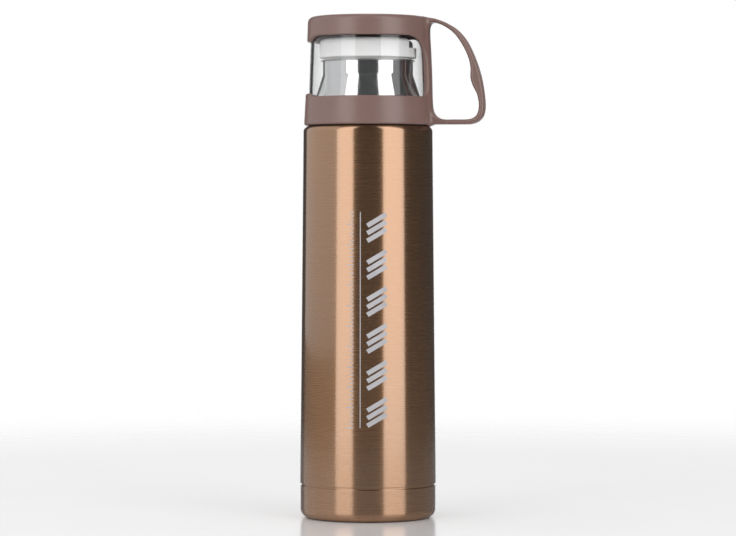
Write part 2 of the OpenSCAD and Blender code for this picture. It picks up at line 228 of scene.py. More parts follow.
@dataclass(frozen=True)
class Finish:
    """A surface finish.

    Args:
        name: The material's name.
        colour: Its base colour.
        slot: The record's material slot that it belongs to. It is not used.
        roughness: How much it blurs what it mirrors.
    """

    name: str
    colour: Colour
    slot: str
    roughness: float = 0.4

    def material(self) -> bpy.types.Material:
        """Returns the finish's material, made at its first use."""
        found = bpy.data.materials.get(self.name)
        if found is None:
            found = bpy.data.materials.new(self.name)
            self.dress(Tree(found))
        return found

    def shade(self, share: float) -> Colour:
        """Returns the colour, darker or lighter by a share."""
        return tuple(min(1.0, part * share) for part in self.colour)

    def dress(self, tree: Tree) -> None:
        """Sets the shader's inputs. Each kind of finish has its own."""
        raise NotImplementedError


@dataclass(frozen=True)
class BrushedBronze(Finish):
    """Steel brushed round and round under a clear bronze lacquer.

    Args:
        grain: Depth of the brushed lines, in millimetres.
    """

    grain: float = 0.012

    def dress(self, tree: Tree) -> None:
        """Adds hairlines, uneven lacquer and a few broad streaks."""
        hair = tree.noise(Lay.ROUND.value, 2.0, 0.5)
        streak = tree.noise((5.0, 5.0, 900.0), 2.0)
        cloud = tree.noise((28.0, 28.0, 12.0), 2.0)
        lines = tree.between(tree.spread(hair, 0.0, 1.0), self.shade(0.965), self.shade(1.03))
        toned = tree.node("Mix", {0: tree.spread(streak, 0.0, 0.05), 6: lines, 7: (*self.shade(0.78), 1.0)},
                          data_type="RGBA").outputs[2]
        around = tree.node("Tangent", {}, direction_type="RADIAL", axis="Z").outputs[0]
        rough = tree.node("Math", {0: tree.spread(hair, self.roughness * 0.95, self.roughness * 1.05),
                                   1: tree.spread(cloud, -0.015, 0.02)}, operation="ADD").outputs[0]
        tree.fill(tree.shader, {
            "Base Color": toned, "Metallic": 1.0, "Roughness": rough, "Anisotropic": 0.9,
            "Anisotropic Rotation": 0.25, "Tangent": around, "Coat Weight": 1.0, "Coat IOR": 2.0,
            "Coat Roughness": 0.1,
            "Normal": tree.bump(hair, 0.05, self.grain)})


@dataclass(frozen=True)
class Steel(Finish):
    """Stainless steel, from mirror-polished to plainly drawn.

    Args:
        lay: The way its fine lines run.
        grain: Depth of the lines, in millimetres.
        streak: How much the lines darken the metal, from 0 to 1.
    """

    lay: Lay = Lay.ROUND
    grain: float = 0.004
    streak: float = 0.08

    def dress(self, tree: Tree) -> None:
        """Adds fine lines, wiped smears and a few scratches."""
        lines = tree.noise(self.lay.value, 4.0, 0.6)
        smear = tree.noise((60.0, 60.0, 35.0), 3.0)
        scratch = tree.noise((700.0, 700.0, 26.0), 1.0)
        marks = tree.spread(scratch, 0.0, 1.0, 0.68, 0.74)
        tone = tree.between(tree.spread(lines, 0.0, 1.0), self.shade(1.0 - self.streak), self.colour)
        rough = tree.node("Math", {0: tree.spread(smear, self.roughness * 0.7, self.roughness * 1.35),
                                   1: tree.spread(marks, 0.0, 0.12, 0.0, 1.0)}, operation="ADD").outputs[0]
        tree.fill(tree.shader, {
            "Base Color": tone, "Metallic": 1.0, "Roughness": rough,
            "Normal": tree.bump(lines, 0.3, self.grain)})


@dataclass(frozen=True)
class Foil(Finish):
    """Thin bright foil that creased as it was wrapped."""

    def dress(self, tree: Tree) -> None:
        """Adds creases and a faint tarnish."""
        crease = tree.node("TexVoronoi", {"Vector": tree.place((90.0, 90.0, 60.0)), "Scale": 1.0},
                           feature="SMOOTH_F1").outputs["Distance"]
        cloud = tree.noise((40.0, 40.0, 40.0))
        tree.fill(tree.shader, {
            "Base Color": tree.between(tree.spread(cloud, 0.0, 1.0), self.shade(0.8), self.colour),
            "Metallic": 1.0, "Roughness": tree.spread(cloud, self.roughness * 0.8, self.roughness * 1.3),
            "Normal": tree.bump(crease, 0.5, 0.4)})


@dataclass(frozen=True)
class SatinPlastic(Finish):
    """Moulded plastic with a fine spark-eroded texture.

    Args:
        texture: Depth of the texture, in millimetres.
        glow: How much light goes into the plastic and out again, from 0 to 1.
        sheen: How strongly its skin mirrors.
    """

    texture: float = 0.01
    glow: float = 0.0
    sheen: float = 0.5

    def dress(self, tree: Tree) -> None:
        """Adds the mould's texture, flow marks and slightly rubbed patches."""
        fine = tree.noise((5200.0, 5200.0, 5200.0), 2.0)
        flow = tree.noise((45.0, 45.0, 90.0), 3.0)
        rubbed = tree.noise((120.0, 120.0, 120.0), 4.0)
        tree.fill(tree.shader, {
            "Base Color": tree.between(tree.spread(flow, 0.0, 1.0), self.shade(0.95), self.shade(1.04)),
            "Roughness": tree.spread(rubbed, self.roughness * 0.9, self.roughness * 1.12),
            "Specular IOR Level": self.sheen, "Subsurface Weight": self.glow,
            "Subsurface Radius": (1.0, 0.8, 0.6), "Subsurface Scale": 1.5 * MM,
            "Normal": tree.bump(fine, 0.25, self.texture)})


@dataclass(frozen=True)
class ClearPlastic(Finish):
    """Clear, polished plastic that lets lamps through.

    Args:
        index: Its index of refraction.
    """

    index: float = 1.58

    def dress(self, tree: Tree) -> None:
        """Adds faint handling haze, and a clear way for light to reach what is inside."""
        haze = tree.noise((150.0, 150.0, 60.0), 4.0)
        ripple = tree.noise((70.0, 70.0, 25.0), 1.0)
        tree.fill(tree.shader, {
            "Base Color": (*self.colour, 1.0), "Transmission Weight": 1.0, "IOR": self.index,
            "Roughness": tree.spread(haze, self.roughness * 0.4, self.roughness * 1.6),
            "Normal": tree.bump(ripple, 0.08, 0.1)})
        lamps = tree.node("LightPath", {}).outputs["Is Shadow Ray"]
        clear = tree.node("BsdfTransparent", {"Color": (1.0, 1.0, 1.0, 1.0)}).outputs[0]
        both = tree.node("MixShader", {0: lamps, 1: tree.shader.outputs[0], 2: clear})
        tree.links.new(both.outputs[0], tree.output.inputs["Surface"])


@dataclass(frozen=True)
class Silicone(Finish):
    """Soft, dull silicone.

    Args:
        glow: How much light goes into it and out again, from 0 to 1.
    """

    glow: float = 0.2

    def dress(self, tree: Tree) -> None:
        """Adds a dusty, slightly uneven skin."""
        dust = tree.noise((400.0, 400.0, 400.0), 5.0)
        tree.fill(tree.shader, {
            "Base Color": tree.between(tree.spread(dust, 0.0, 1.0), self.shade(0.9), self.shade(1.08)),
            "Roughness": tree.spread(dust, self.roughness * 0.9, self.roughness * 1.15),
            "Subsurface Weight": self.glow, "Subsurface Radius": (1.0, 0.9, 0.8),
            "Subsurface Scale": 1.0 * MM,
            "Normal": tree.bump(dust, 0.2, 0.03)})


@dataclass(frozen=True)
class PrintInk(Finish):
    """Screen-printed ink with a slight grain."""

    def dress(self, tree: Tree) -> None:
        """Adds the mesh's grain and thin spots."""
        grain = tree.noise((2600.0, 2600.0, 2600.0), 2.0)
        thin = tree.noise((90.0, 90.0, 90.0), 3.0)
        tone = tree.between(tree.spread(thin, 0.0, 1.0), self.shade(0.9), self.shade(1.06))
        tree.fill(tree.shader, {
            "Base Color": tone, "Roughness": tree.spread(grain, self.roughness * 0.85, self.roughness * 1.15),
            "Specular IOR Level": 0.3, "Normal": tree.bump(grain, 0.2, 0.01)})


BRONZE = BrushedBronze("bronze_lacquer", (0.59, 0.318, 0.162), "bronze_paint", 0.27)
MIRROR_STEEL = Steel("mirror_steel", (0.95, 0.95, 0.96), "polished_steel", 0.05, Lay.UPRIGHT, 0.001, 0.03)
DRAWN_STEEL = Steel("drawn_steel", (0.68, 0.68, 0.69), "steel", 0.24, Lay.ROUND, 0.008, 0.15)
SEAL_METAL = Steel("seal_metal", (0.42, 0.43, 0.45), "seal_metal", 0.45, Lay.FLAT, 0.03, 0.3)
GETTER_METAL = Steel("getter_metal", (0.46, 0.46, 0.47), "getter_metal", 0.55, Lay.FLAT, 0.05, 0.3)
WIRE = Steel("spring_wire", (0.62, 0.62, 0.64), "spring_steel", 0.2, Lay.FLAT, 0.004, 0.12)
COPPER = Foil("copper_sheet", (0.82, 0.46, 0.32), "copper", 0.25)
BROWN = SatinPlastic("brown_moulding", (0.215, 0.126, 0.108), "brown_plastic", 0.32, 0.008, 0.0, 0.95)
PALE = SatinPlastic("pale_moulding", (0.93, 0.925, 0.92), "pale_plastic", 0.4, 0.01, 0.1)
NATURAL = SatinPlastic("natural_moulding", (0.78, 0.77, 0.72), "stem_plastic", 0.45, 0.01, 0.25)
CLEAR = ClearPlastic("clear_moulding", (0.985, 0.99, 0.99), "clear_plastic", 0.02)
SOFT_CLEAR = Silicone("clear_silicone", (0.74, 0.73, 0.70), "clear_silicone", 0.5, 0.4)
# Dark silicone for the stem seal and the cup's seat ring. On the seat ring the dark colour also stands in for
# the shade in the gap under the cup: partly painted shade.
DARK_SILICONE_AND_GAP_SHADE = Silicone("dark_silicone", (0.075, 0.052, 0.045), "dark_silicone", 0.6, 0.0)
INK = PrintInk("grey_ink", (0.50, 0.49, 0.51), "bronze_paint", 0.5)


# ---- Meshes ----


def new_piece(name: str, points: np.ndarray, faces: Sequence[Sequence[int]],
              sharp: float = SHARP) -> bpy.types.Object:
    """Makes a piece from points and faces, smooth but for its sharp edges.

    Args:
        name: The piece's name.
        points: Its points, in millimetres.
        faces: Its faces, as rows of point numbers.
        sharp: The angle in degrees from which an edge stays sharp.

    Returns:
        The piece, linked into the scene.
    """
    mesh = bpy.data.meshes.new(name)
    mesh.from_pydata((np.asarray(points, float) * MM).tolist(), [], [list(map(int, f)) for f in faces])
    work = bmesh.new()
    work.from_mesh(mesh)
    bmesh.ops.recalc_face_normals(work, faces=work.faces)
    work.to_mesh(mesh)
    work.free()
    mesh.shade_smooth()
    mesh.set_sharp_from_angle(angle=math.radians(sharp))
    piece = bpy.data.objects.new(name, mesh)
    bpy.context.scene.collection.objects.link(piece)
    return piece


def fit(piece: bpy.types.Object, finish: Finish, body: Body, *nodes: str) -> bpy.types.Object:
    """Dresses a piece and hangs it on its body.

    Args:
        piece: The piece, in its place at rest.
        finish: Its surface finish.
        body: The body that it moves with.
        nodes: The CAD nodes that it stands for.

    Returns:
        The piece.
    """
    piece.data.materials.clear()
    piece.data.materials.append(finish.material())
    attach(piece, body.value)
    if nodes:
        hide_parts(*nodes)
    LOG.info("%s: %d faces, %s, rides on %s", piece.name, len(piece.data.polygons), finish.name, body.value)
    return piece


def round_corners(corners: Outline, closed: bool, edge: float, fine: int = 6) -> list[tuple[float, float]]:
    """Rounds the corners of an outline with arcs.

    Args:
        corners: Each corner's two places, and its own radius if it isn't the plain edge's.
        closed: Whether the last corner joins the first.
        edge: The radius of a corner that names none.
        fine: Steps in a quarter turn.

    Returns:
        The outline's points.
    """
    out: list[tuple[float, float]] = []
    for i, (u, v, *own) in enumerate(corners):
        radius = own[0] if own else edge
        if radius <= 0 or (not closed and i in (0, len(corners) - 1)):
            out.append((u, v))
            continue
        here = Vector((u, v))
        before = Vector(corners[i - 1][:2]) - here
        after = Vector(corners[(i + 1) % len(corners)][:2]) - here
        half = before.angle(after) / 2
        if half > math.radians(89.5):
            out.append((u, v))
            continue
        reach = min(radius / math.tan(half), 0.48 * before.length, 0.48 * after.length)
        radius = reach * math.tan(half)
        centre = here + (before.normalized() + after.normalized()).normalized() * (radius / math.sin(half))
        first = here + before.normalized() * reach - centre
        last = here + after.normalized() * reach - centre
        start = math.atan2(first.y, first.x)
        turn = (math.atan2(last.y, last.x) - start + math.pi) % math.tau - math.pi
        steps = max(2, round(abs(turn) / QUARTER * fine))
        for k in range(steps + 1):
            angle = start + turn * k / steps
            out.append((centre.x + radius * math.cos(angle), centre.y + radius * math.sin(angle)))
    return out


@dataclass(frozen=True)
class Thread:
    """Rounded thread ridges that climb a wall.

    Args:
        wall_r: Radius of the wall.
        height: Height of the ridges, below 0 on the inside of a wall.
        low_z: Middle of the ridges' lower ends.
        rise: How far a ridge climbs.
        starts: Number of ridges.
        sweep: Angle that a ridge runs round, in degrees.
        turn: Angle from the handle to the first ridge's lower end, in degrees.
        crest: Width of a ridge at its top.
        foot: Width of a ridge at the wall.
    """

    wall_r: float
    height: float
    low_z: float
    rise: float = 5.0
    starts: int = 3
    sweep: float = 150.0
    turn: float = 17.0
    crest: float = 0.5
    foot: float = 2.1

    def lift(self, angle: np.ndarray, z: np.ndarray) -> np.ndarray:
        """Works out how far the ridges lift the wall.

        Args:
            angle: Angles about the axis, in degrees.
            z: Heights.

        Returns:
            The lift at each point.
        """
        total = np.zeros_like(z)
        for k in range(self.starts):
            share = ((angle - self.turn - 360 * k / self.starts) % 360) / self.sweep
            ends = np.clip(np.minimum(share, 1 - share) / 0.12, 0, 1)
            away = np.abs(z - self.low_z - self.rise * share)
            side = np.clip((self.foot / 2 - away) / (self.foot / 2 - self.crest / 2), 0, 1)
            total = np.maximum(total, side * side * (3 - 2 * side) * ends * ends * (3 - 2 * ends))
        return total * self.height

    def rows(self) -> np.ndarray:
        """Returns the heights of the rows of points that the ridges need."""
        low = self.low_z - self.foot / 2 - 0.3
        return np.arange(low, self.low_z + self.rise + self.foot / 2 + 0.3, 0.22)


@dataclass(frozen=True)
class Turning:
    """A piece turned about the axis from a half section.

    Args:
        name: The piece's name.
        corners: Its corners as [radius, height] or [radius, height, rounding]. It's a loop, unless it
            starts and ends on the axis.
        edge: Radius of a corner that names none.
        thread: Thread ridges on one of its walls.
        segments: Number of sides.
    """

    name: str
    corners: Outline
    edge: float = 0.15
    thread: Thread | None = None
    segments: int = 240

    def section(self) -> list[tuple[float, float]]:
        """Returns the half section's points, with rows where flats end and where a thread runs."""
        loop = self.corners[0][0] > 0
        points = round_corners(self.corners, loop, self.edge)
        out: list[tuple[float, float]] = []
        for i, (r, z) in enumerate(points):
            out.append((r, z))
            if i == len(points) - 1 and not loop:
                break
            r2, z2 = points[(i + 1) % len(points)]
            out += [(r + (r2 - r) * t, z + (z2 - z) * t) for t in self.stops(r, z, r2, z2)]
        return out

    def stops(self, r: float, z: float, r2: float, z2: float) -> list[float]:
        """Works out where a straight stretch of the section gets more points.

        Args:
            r: Radius at its start.
            z: Height at its start.
            r2: Radius at its end.
            z2: Height at its end.

        Returns:
            Shares of the stretch, from its start.
        """
        length = math.hypot(r2 - r, z2 - z)
        near = 0.3 / length if length > 2 else 0.0
        shares = [near, 1 - near] if near else []
        thread = self.thread
        if thread and abs(z2 - z) > 2 and abs(r - thread.wall_r) < 0.1 and abs(r2 - thread.wall_r) < 0.1:
            shares += [(row - z) / (z2 - z) for row in thread.rows() if 0.01 < (row - z) / (z2 - z) < 0.99]
        return sorted(shares)

    def build(self) -> bpy.types.Object:
        """Returns the turned piece."""
        section = self.section()
        angles = np.linspace(0, 360, self.segments, endpoint=False)
        cos, sin = np.cos(np.radians(angles)), np.sin(np.radians(angles))
        points: list[np.ndarray] = []
        rings: list[np.ndarray] = []
        count = 0
        for r, z in section:
            if r < 1e-6:
                points.append(np.array([[0.0, 0.0, z]]))
                rings.append(np.full(self.segments, count))
                count += 1
                continue
            radii = np.full(self.segments, r)
            if self.thread and abs(r - self.thread.wall_r) < 0.1:
                radii = radii + self.thread.lift(angles, np.full(self.segments, z))
            points.append(np.stack([radii * cos, radii * sin, np.full(self.segments, z)], 1))
            rings.append(np.arange(count, count + self.segments))
            count += self.segments
        faces = []
        pairs = list(zip(rings, rings[1:]))
        if section[0][0] > 0:
            pairs.append((rings[-1], rings[0]))
        for a, b in pairs:
            for i in range(self.segments):
                j = (i + 1) % self.segments
                corners = [a[i], a[j], b[j], b[i]]
                face = [c for k, c in enumerate(corners) if c != corners[k - 1]]
                if len(face) > 2:
                    faces.append(face)
        return new_piece(self.name, np.concatenate(points), faces)


def ring_section(inner: float, outer: float, span: Span, edges: Sequence[float]) -> Outline:
    """Draws the half section of a plain ring.

    Args:
        inner: Its inside radius.
        outer: Its outside radius.
        span: Where it lies.
        edges: Rounding of its corners: inside and outside below, then outside and inside above.

    Returns:
        The section's corners.
    """
    places = ((inner, span.low), (outer, span.low), (outer, span.high), (inner, span.high))
    return [(*place, edge) for place, edge in zip(places, edges)]


def quads_between(first: int, count: int) -> list[list[int]]:
    """Joins two rings of points whose numbers follow one another.

    Args:
        first: Number of the first ring's first point.
        count: Number of points in a ring.

    Returns:
        The quads.
    """
    return [[first + j, first + (j + 1) % count, first + count + (j + 1) % count, first + count + j]
            for j in range(count)]


def cut(piece: bpy.types.Object, cutter: bpy.types.Object) -> None:
    """Cuts one piece with another, which is removed.

    Args:
        piece: The piece to cut.
        cutter: The shape that is taken out of it.
    """
    tool = piece.modifiers.new("cut", "BOOLEAN")
    tool.operation = "DIFFERENCE"
    tool.solver = "EXACT"
    tool.object = cutter
    bpy.context.view_layer.update()
    mesh = bpy.data.meshes.new_from_object(piece.evaluated_get(bpy.context.evaluated_depsgraph_get()))
    piece.modifiers.clear()
    piece.data = mesh
    piece.data.set_sharp_from_angle(angle=math.radians(SHARP))
    bpy.data.objects.remove(cutter)


def tube(name: str, line: np.ndarray, radius: float, sides: int = 12) -> bpy.types.Object:
    """Sweeps a round wire along a line and closes its ends.

    Args:
        name: The piece's name.
        line: Points of its middle line.
        radius: The wire's radius.
        sides: Number of sides of the wire.

    Returns:
        The wire.
    """
    ahead = np.gradient(line, axis=0)
    ahead /= np.linalg.norm(ahead, axis=1)[:, None]
    out = line * [1, 1, 0]
    out /= np.linalg.norm(out, axis=1)[:, None]
    up = np.cross(ahead, out)
    turn = np.linspace(0, math.tau, sides, endpoint=False)
    round_wire = out[:, None] * np.cos(turn)[:, None] + up[:, None] * np.sin(turn)[:, None]
    rings = line[:, None] + radius * round_wire
    last = (len(line) - 1) * sides
    faces = [quad for first in range(0, last, sides) for quad in quads_between(first, sides)]
    faces += [list(range(sides)), list(range(last, last + sides))]
    return new_piece(name, rings.reshape(-1, 3), faces)


# ---- Moulded shapes, from distances ----


def soft_max(a: np.ndarray, b: np.ndarray, blend: float) -> np.ndarray:
    """Returns the greater of two distances, with a rounding of about blend where they meet."""
    near = np.maximum(blend - np.abs(a - b), 0) / blend
    return np.maximum(a, b) + near * near * blend / 4


def soft_min(a: np.ndarray, b: np.ndarray, blend: float) -> np.ndarray:
    """Returns the lesser of two distances, with a fillet of about blend where they meet."""
    return -soft_max(-a, -b, blend)


def rounded_meet(a: np.ndarray, b: np.ndarray, radius: float) -> np.ndarray:
    """Returns the distance to where two shapes overlap, with an edge of the given radius."""
    p, q = a + radius, b + radius
    return np.hypot(np.maximum(p, 0), np.maximum(q, 0)) + np.minimum(np.maximum(p, q), 0) - radius


class OutlineField:
    """Distances to closed outlines in a plane, worked out once on a fine grid. A hole is a second outline."""

    STEP = 0.12

    def __init__(self, outlines: Sequence[np.ndarray], margin: float = 4.0) -> None:
        """Works out the grid's distances, which are below 0 inside the outlines."""
        every = np.concatenate(outlines)
        self.low = every.min(0) - margin
        self.count = np.ceil((every.max(0) + margin - self.low) / self.STEP).astype(int) + 1
        axes = [self.low[k] + self.STEP * np.arange(self.count[k]) for k in (0, 1)]
        u, v = np.meshgrid(*axes, indexing="ij")
        nearest = np.full(u.shape, 1e9)
        inside = np.zeros(u.shape, bool)
        for outline in outlines:
            for (a, b), (c, d) in zip(outline, np.roll(outline, -1, axis=0)):
                du, dv = c - a, d - b
                share = np.clip(((u - a) * du + (v - b) * dv) / max(du * du + dv * dv, 1e-12), 0, 1)
                nearest = np.minimum(nearest, (u - a - share * du) ** 2 + (v - b - share * dv) ** 2)
                if dv:
                    inside ^= ((b > v) != (d > v)) & (u < a + du * (v - b) / dv)
        self.table = np.where(inside, -1.0, 1.0) * np.sqrt(nearest)

    def at(self, u: np.ndarray, v: np.ndarray) -> np.ndarray:
        """Reads the distances at points.

        Args:
            u: The points' first places.
            v: The points' second places.

        Returns:
            The distance at each.
        """
        p = np.clip((u - self.low[0]) / self.STEP, 0, self.count[0] - 1.001)
        q = np.clip((v - self.low[1]) / self.STEP, 0, self.count[1] - 1.001)
        i, j = p.astype(int), q.astype(int)
        s, t = p - i, q - j
        table = self.table
        return ((table[i, j] * (1 - s) + table[i + 1, j] * s) * (1 - t)
                + (table[i, j + 1] * (1 - s) + table[i + 1, j + 1] * s) * t)


@dataclass(frozen=True)
class Moulding:
    """A closed skin over the points where a distance is 0.

    Args:
        distance: Gives the distance at rows of points, below 0 inside.
        low: The lowest corner of its box.
        high: The highest corner of its box.
        step: Size of the skin's faces.
    """

    distance: Callable[[np.ndarray], np.ndarray]
    low: tuple[float, float, float]
    high: tuple[float, float, float]
    step: float

    def slope(self, points: np.ndarray, reach: float) -> np.ndarray:
        """Returns the direction in which the distance grows at each point, measured over reach each way."""
        sides = [self.distance(points + reach * way) - self.distance(points - reach * way)
                 for way in np.eye(3)]
        out = np.stack(sides, 1)
        return out / np.maximum(np.linalg.norm(out, axis=1), 1e-9)[:, None]

    def grid(self) -> tuple[np.ndarray, np.ndarray]:
        """Returns the distances on a grid over the box, and the grid's lowest corner."""
        low = np.array(self.low) - 2.5 * self.step
        counts = np.ceil((np.array(self.high) + 2.5 * self.step - low) / self.step).astype(int)
        axes = [low[k] + self.step * np.arange(counts[k]) for k in range(3)]
        y, z = (part.ravel() for part in np.meshgrid(axes[1], axes[2], indexing="ij"))
        slices = [self.distance(np.stack([np.full_like(y, x), y, z], 1)) for x in axes[0]]
        return np.array(slices).reshape(counts), low

    def net(self) -> tuple[np.ndarray, np.ndarray]:
        """Lays a net of quads over the skin.

        Returns:
            Its points, and its faces as rows of four point numbers.
        """
        values, low = self.grid()
        inside = values < 0
        shape = [n - 1 for n in values.shape]
        total = np.zeros((*shape, 3))
        hits = np.zeros(shape)
        edges = []
        for axis in range(3):
            near = [slice(None)] * 3
            far = [slice(None)] * 3
            near[axis], far[axis] = slice(0, -1), slice(1, None)
            at = np.argwhere(inside[tuple(near)] != inside[tuple(far)])
            step = np.eye(3, dtype=int)[axis]
            a, b = values[tuple(at.T)], values[tuple((at + step).T)]
            place = at + step * (a / (a - b))[:, None]
            round_edge = []
            for db, dc in ((-1, -1), (0, -1), (0, 0), (-1, 0)):
                cell = at.copy()
                cell[:, (axis + 1) % 3] += db
                cell[:, (axis + 2) % 3] += dc
                np.add.at(total, tuple(cell.T), place)
                np.add.at(hits, tuple(cell.T), 1)
                round_edge.append(cell)
            edges.append((np.stack(round_edge, 1), inside[tuple(at.T)]))
        used = hits > 0
        number = np.full(shape, -1)
        number[used] = np.arange(used.sum())
        points = low + self.step * total[used] / hits[used][:, None]
        faces = []
        for cells, outward in edges:
            quad = number[cells[..., 0], cells[..., 1], cells[..., 2]]
            faces.append(np.where(outward[:, None], quad, quad[:, ::-1]))
        return points, np.concatenate(faces)

    def build(self, name: str) -> bpy.types.Object:
        """Makes the piece, with an even net and the skin's true directions.

        Args:
            name: The piece's name.

        Returns:
            The piece.
        """
        points, faces = self.net()
        pairs = np.concatenate([faces[:, [k, (k + 1) % 4]] for k in range(4)])
        degree = np.bincount(pairs.ravel(), minlength=len(points))[:, None]
        for _ in range(4):
            mean = np.zeros_like(points)
            np.add.at(mean, pairs[:, 0], points[pairs[:, 1]])
            np.add.at(mean, pairs[:, 1], points[pairs[:, 0]])
            points = 0.5 * points + 0.5 * mean / degree
            for _ in range(2):
                gap = np.clip(self.distance(points), -self.step / 2, self.step / 2)
                points = points - gap[:, None] * self.slope(points, self.step / 4)
        piece = new_piece(name, points, faces, 180.0)
        piece.data.normals_split_custom_set_from_vertices(self.slope(points, self.step / 2).tolist())
        return piece


# ---- The steel bottle ----


@dataclass
class SteelBottle:
    """The two-walled bottle, its base cap and the steel collar that the cup screws onto.

    Args:
        taper: How much narrower the shell is at its shoulder.
        shoulder: Radius that rounds the shoulder.
        sheet: Thickness of the shell's and the inner bottle's sheet.
        ledge: How far the shoulder's ledge stands off the collar.
        base_wall: Wall of the base cap.
        base_corner: Radius that rounds the base cap's lower corner.
        foot_w: Width of the base's foot.
        recess: How far the base's middle stands off the table.
        spigot: Wall of the base cap's spigot.
        collar_sheet: Thickness of the collar's sheet.
        cone_h: Height of the collar's cone.
        cone_run: How far the cone narrows.
        neck_h: Height of the neck above the cone.
        lip: How far the inner bottle's rolled lip stands out from the neck.
        vacuum: Gap between the shell's top and the inner bottle.
        liner_slope: Angle of the inner bottle's shoulder from the axis, in degrees.
        liner_bends: Radii of the bends below and above that shoulder.
        bend_depth: How far below the shell's top the lower bend starts.
        shell: Where the outer shell lies.
        base: Where the base cap lies.
        collar: Where the collar lies.
        liner: Where the inner bottle lies.
    """

    taper: float = 1.7
    shoulder: float = 3.0
    sheet: float = 0.6
    ledge: float = 0.4
    base_wall: float = 0.9
    base_corner: float = 7.0
    foot_w: float = 3.0
    recess: float = 1.2
    spigot: float = 1.2
    collar_sheet: float = 0.7
    cone_h: float = 12.2
    cone_run: float = 3.8
    neck_h: float = 7.1
    lip: float = 1.0
    vacuum: float = 2.6
    liner_slope: float = 55.0
    liner_bends: tuple[float, float] = (8.0, 6.0)
    bend_depth: float = 20.4
    shell: Span = field(default_factory=lambda: Span.of("outer_shell"))
    base: Span = field(default_factory=lambda: Span.of("base_cap"))
    collar: Span = field(default_factory=lambda: Span.of("neck_collar"))
    liner: Span = field(default_factory=lambda: Span.of("inner_liner"))

    @property
    def neck_z(self) -> float:
        """Height of the cone's top."""
        return self.liner.high - self.neck_h

    @property
    def neck_r(self) -> float:
        """Outside radius of the neck."""
        return self.ring_r - 0.45 - self.cone_run

    @property
    def ring_r(self) -> float:
        """Outside radius of the collar's straight wall."""
        return Span.of("cup_seat_ring").radius - 3.0

    def shell_at(self, z: float) -> float:
        """Returns the shell's outside radius at a height."""
        run = self.shell.high - self.shoulder - self.shell.low
        return self.shell.radius - self.taper * (z - self.shell.low) / run

    def build(self) -> None:
        """Builds and dresses the bottle's pieces."""
        self.build_shell()
        self.build_base()
        self.build_collar()
        self.build_liner()
        self.dress_sealed()

    def build_shell(self) -> None:
        """Turns the bronze outer shell."""
        low, top, wall = self.shell.low, self.shell.high, self.sheet
        foot_r, top_r = self.shell.radius, self.shell.radius - self.taper
        ledge_r = self.ring_r + self.ledge
        corners = [
            (foot_r, low, 0.4), (top_r, top, self.shoulder), (ledge_r, top, 0.3), (ledge_r, top - wall, 0.1),
            (top_r - wall, top - wall, self.shoulder - wall), (foot_r - wall, low, 0.1)]
        fit(Turning("bronze_shell", corners, segments=288).build(), BRONZE, Body.FLASK, "outer_shell")

    def build_base(self) -> None:
        """Turns the base cap with its foot ring and the spigot inside the shell."""
        r, top, wall = self.base.radius, self.shell.low - 0.9, self.base_wall
        inner = r - self.base_corner - self.foot_w
        slope = inner + self.recess
        spigot_r = self.shell_at(self.base.high) - self.sheet - 0.05
        corners = [
            (0, self.recess), (inner, self.recess, 0.8), (slope, 0, 0.8), (r, 0, self.base_corner),
            (r, top, 0.9), (spigot_r, top, 0.05), (spigot_r, self.base.high, 0.2),
            (spigot_r - self.spigot, self.base.high, 0.2), (spigot_r - self.spigot, top - 2, 0.2),
            (r - wall, top - 2, 0.2), (r - wall, wall, self.base_corner - wall), (slope, wall, 0.8),
            (inner, self.recess + wall, 0.8), (0, self.recess + wall)]
        fit(Turning("bronze_base", corners, segments=288).build(), BRONZE, Body.FLASK, "base_cap")

    def build_collar(self) -> None:
        """Turns the polished collar, its cone and the neck, with the cup's thread rolled round it."""
        low, top, wall = self.collar.low + self.collar_sheet, self.collar.high, self.collar_sheet
        ring_r, neck_r, cone_r = self.ring_r, self.neck_r, self.neck_r + self.cone_run
        cone_z = self.neck_z - self.cone_h
        corners = [
            (self.collar.radius, low, 0.1), (ring_r, low, 0.5), (ring_r, cone_z - 0.2, 0.6),
            (cone_r, cone_z + 0.3, 0.8), (neck_r, self.neck_z, 2.0), (neck_r, top, 0.1),
            (neck_r - wall, top, 0.1), (neck_r - wall, self.neck_z, 2.0), (cone_r - wall, cone_z, 0.5),
            (ring_r - wall, cone_z - 0.5, 0.5), (ring_r - wall, low - wall, 0.3),
            (self.collar.radius, low - wall, 0.1)]
        thread = Thread(ring_r, 0.9, self.shell.high + 5.4)
        collar = Turning("polished_collar", corners, thread=thread).build()
        fit(collar, MIRROR_STEEL, Body.FLASK, "neck_collar")

    def build_liner(self) -> None:
        """Turns the inner bottle, with its rolled lip and the stopper's thread in its neck."""
        low, top, wall = self.liner.low, self.liner.high, self.sheet
        body_r = self.shell.radius - self.taper - wall - self.vacuum
        neck_r = self.neck_r - self.collar_sheet - 0.6
        slope = math.radians(self.liner_slope)
        rise = (body_r - neck_r) / math.tan(slope)
        bend, crook = self.liner_bends
        knee = self.shell.high - self.bend_depth + bend * math.tan(slope / 2)
        lip_r = self.neck_r + self.lip
        corners = [
            (body_r, low, 0.1), (body_r, knee, bend), (neck_r, knee + rise, crook), (neck_r, top - wall, 0.3),
            (lip_r, top - wall, 0.2), (lip_r, top, 0.3), (neck_r - wall, top, 0.5),
            (neck_r - wall, knee + rise + 0.5 * wall, crook + wall),
            (body_r - wall, knee - 0.5 * wall, bend - wall), (body_r - wall, low, 0.1)]
        thread = Thread(neck_r - wall, -0.9, self.liner.high - 18.0)
        fit(Turning("steel_liner", corners, thread=thread).build(), DRAWN_STEEL, Body.FLASK, "inner_liner")

    def dress_sealed(self) -> None:
        """Dresses the pieces sealed in the vacuum, which keep their CAD shapes."""
        finishes = {"outer_bottom": DRAWN_STEEL, "seal_plug": SEAL_METAL, "getter": GETTER_METAL,
                    "liner_bottom": DRAWN_STEEL, "copper_foil": COPPER}
        dress_nodes(finishes)


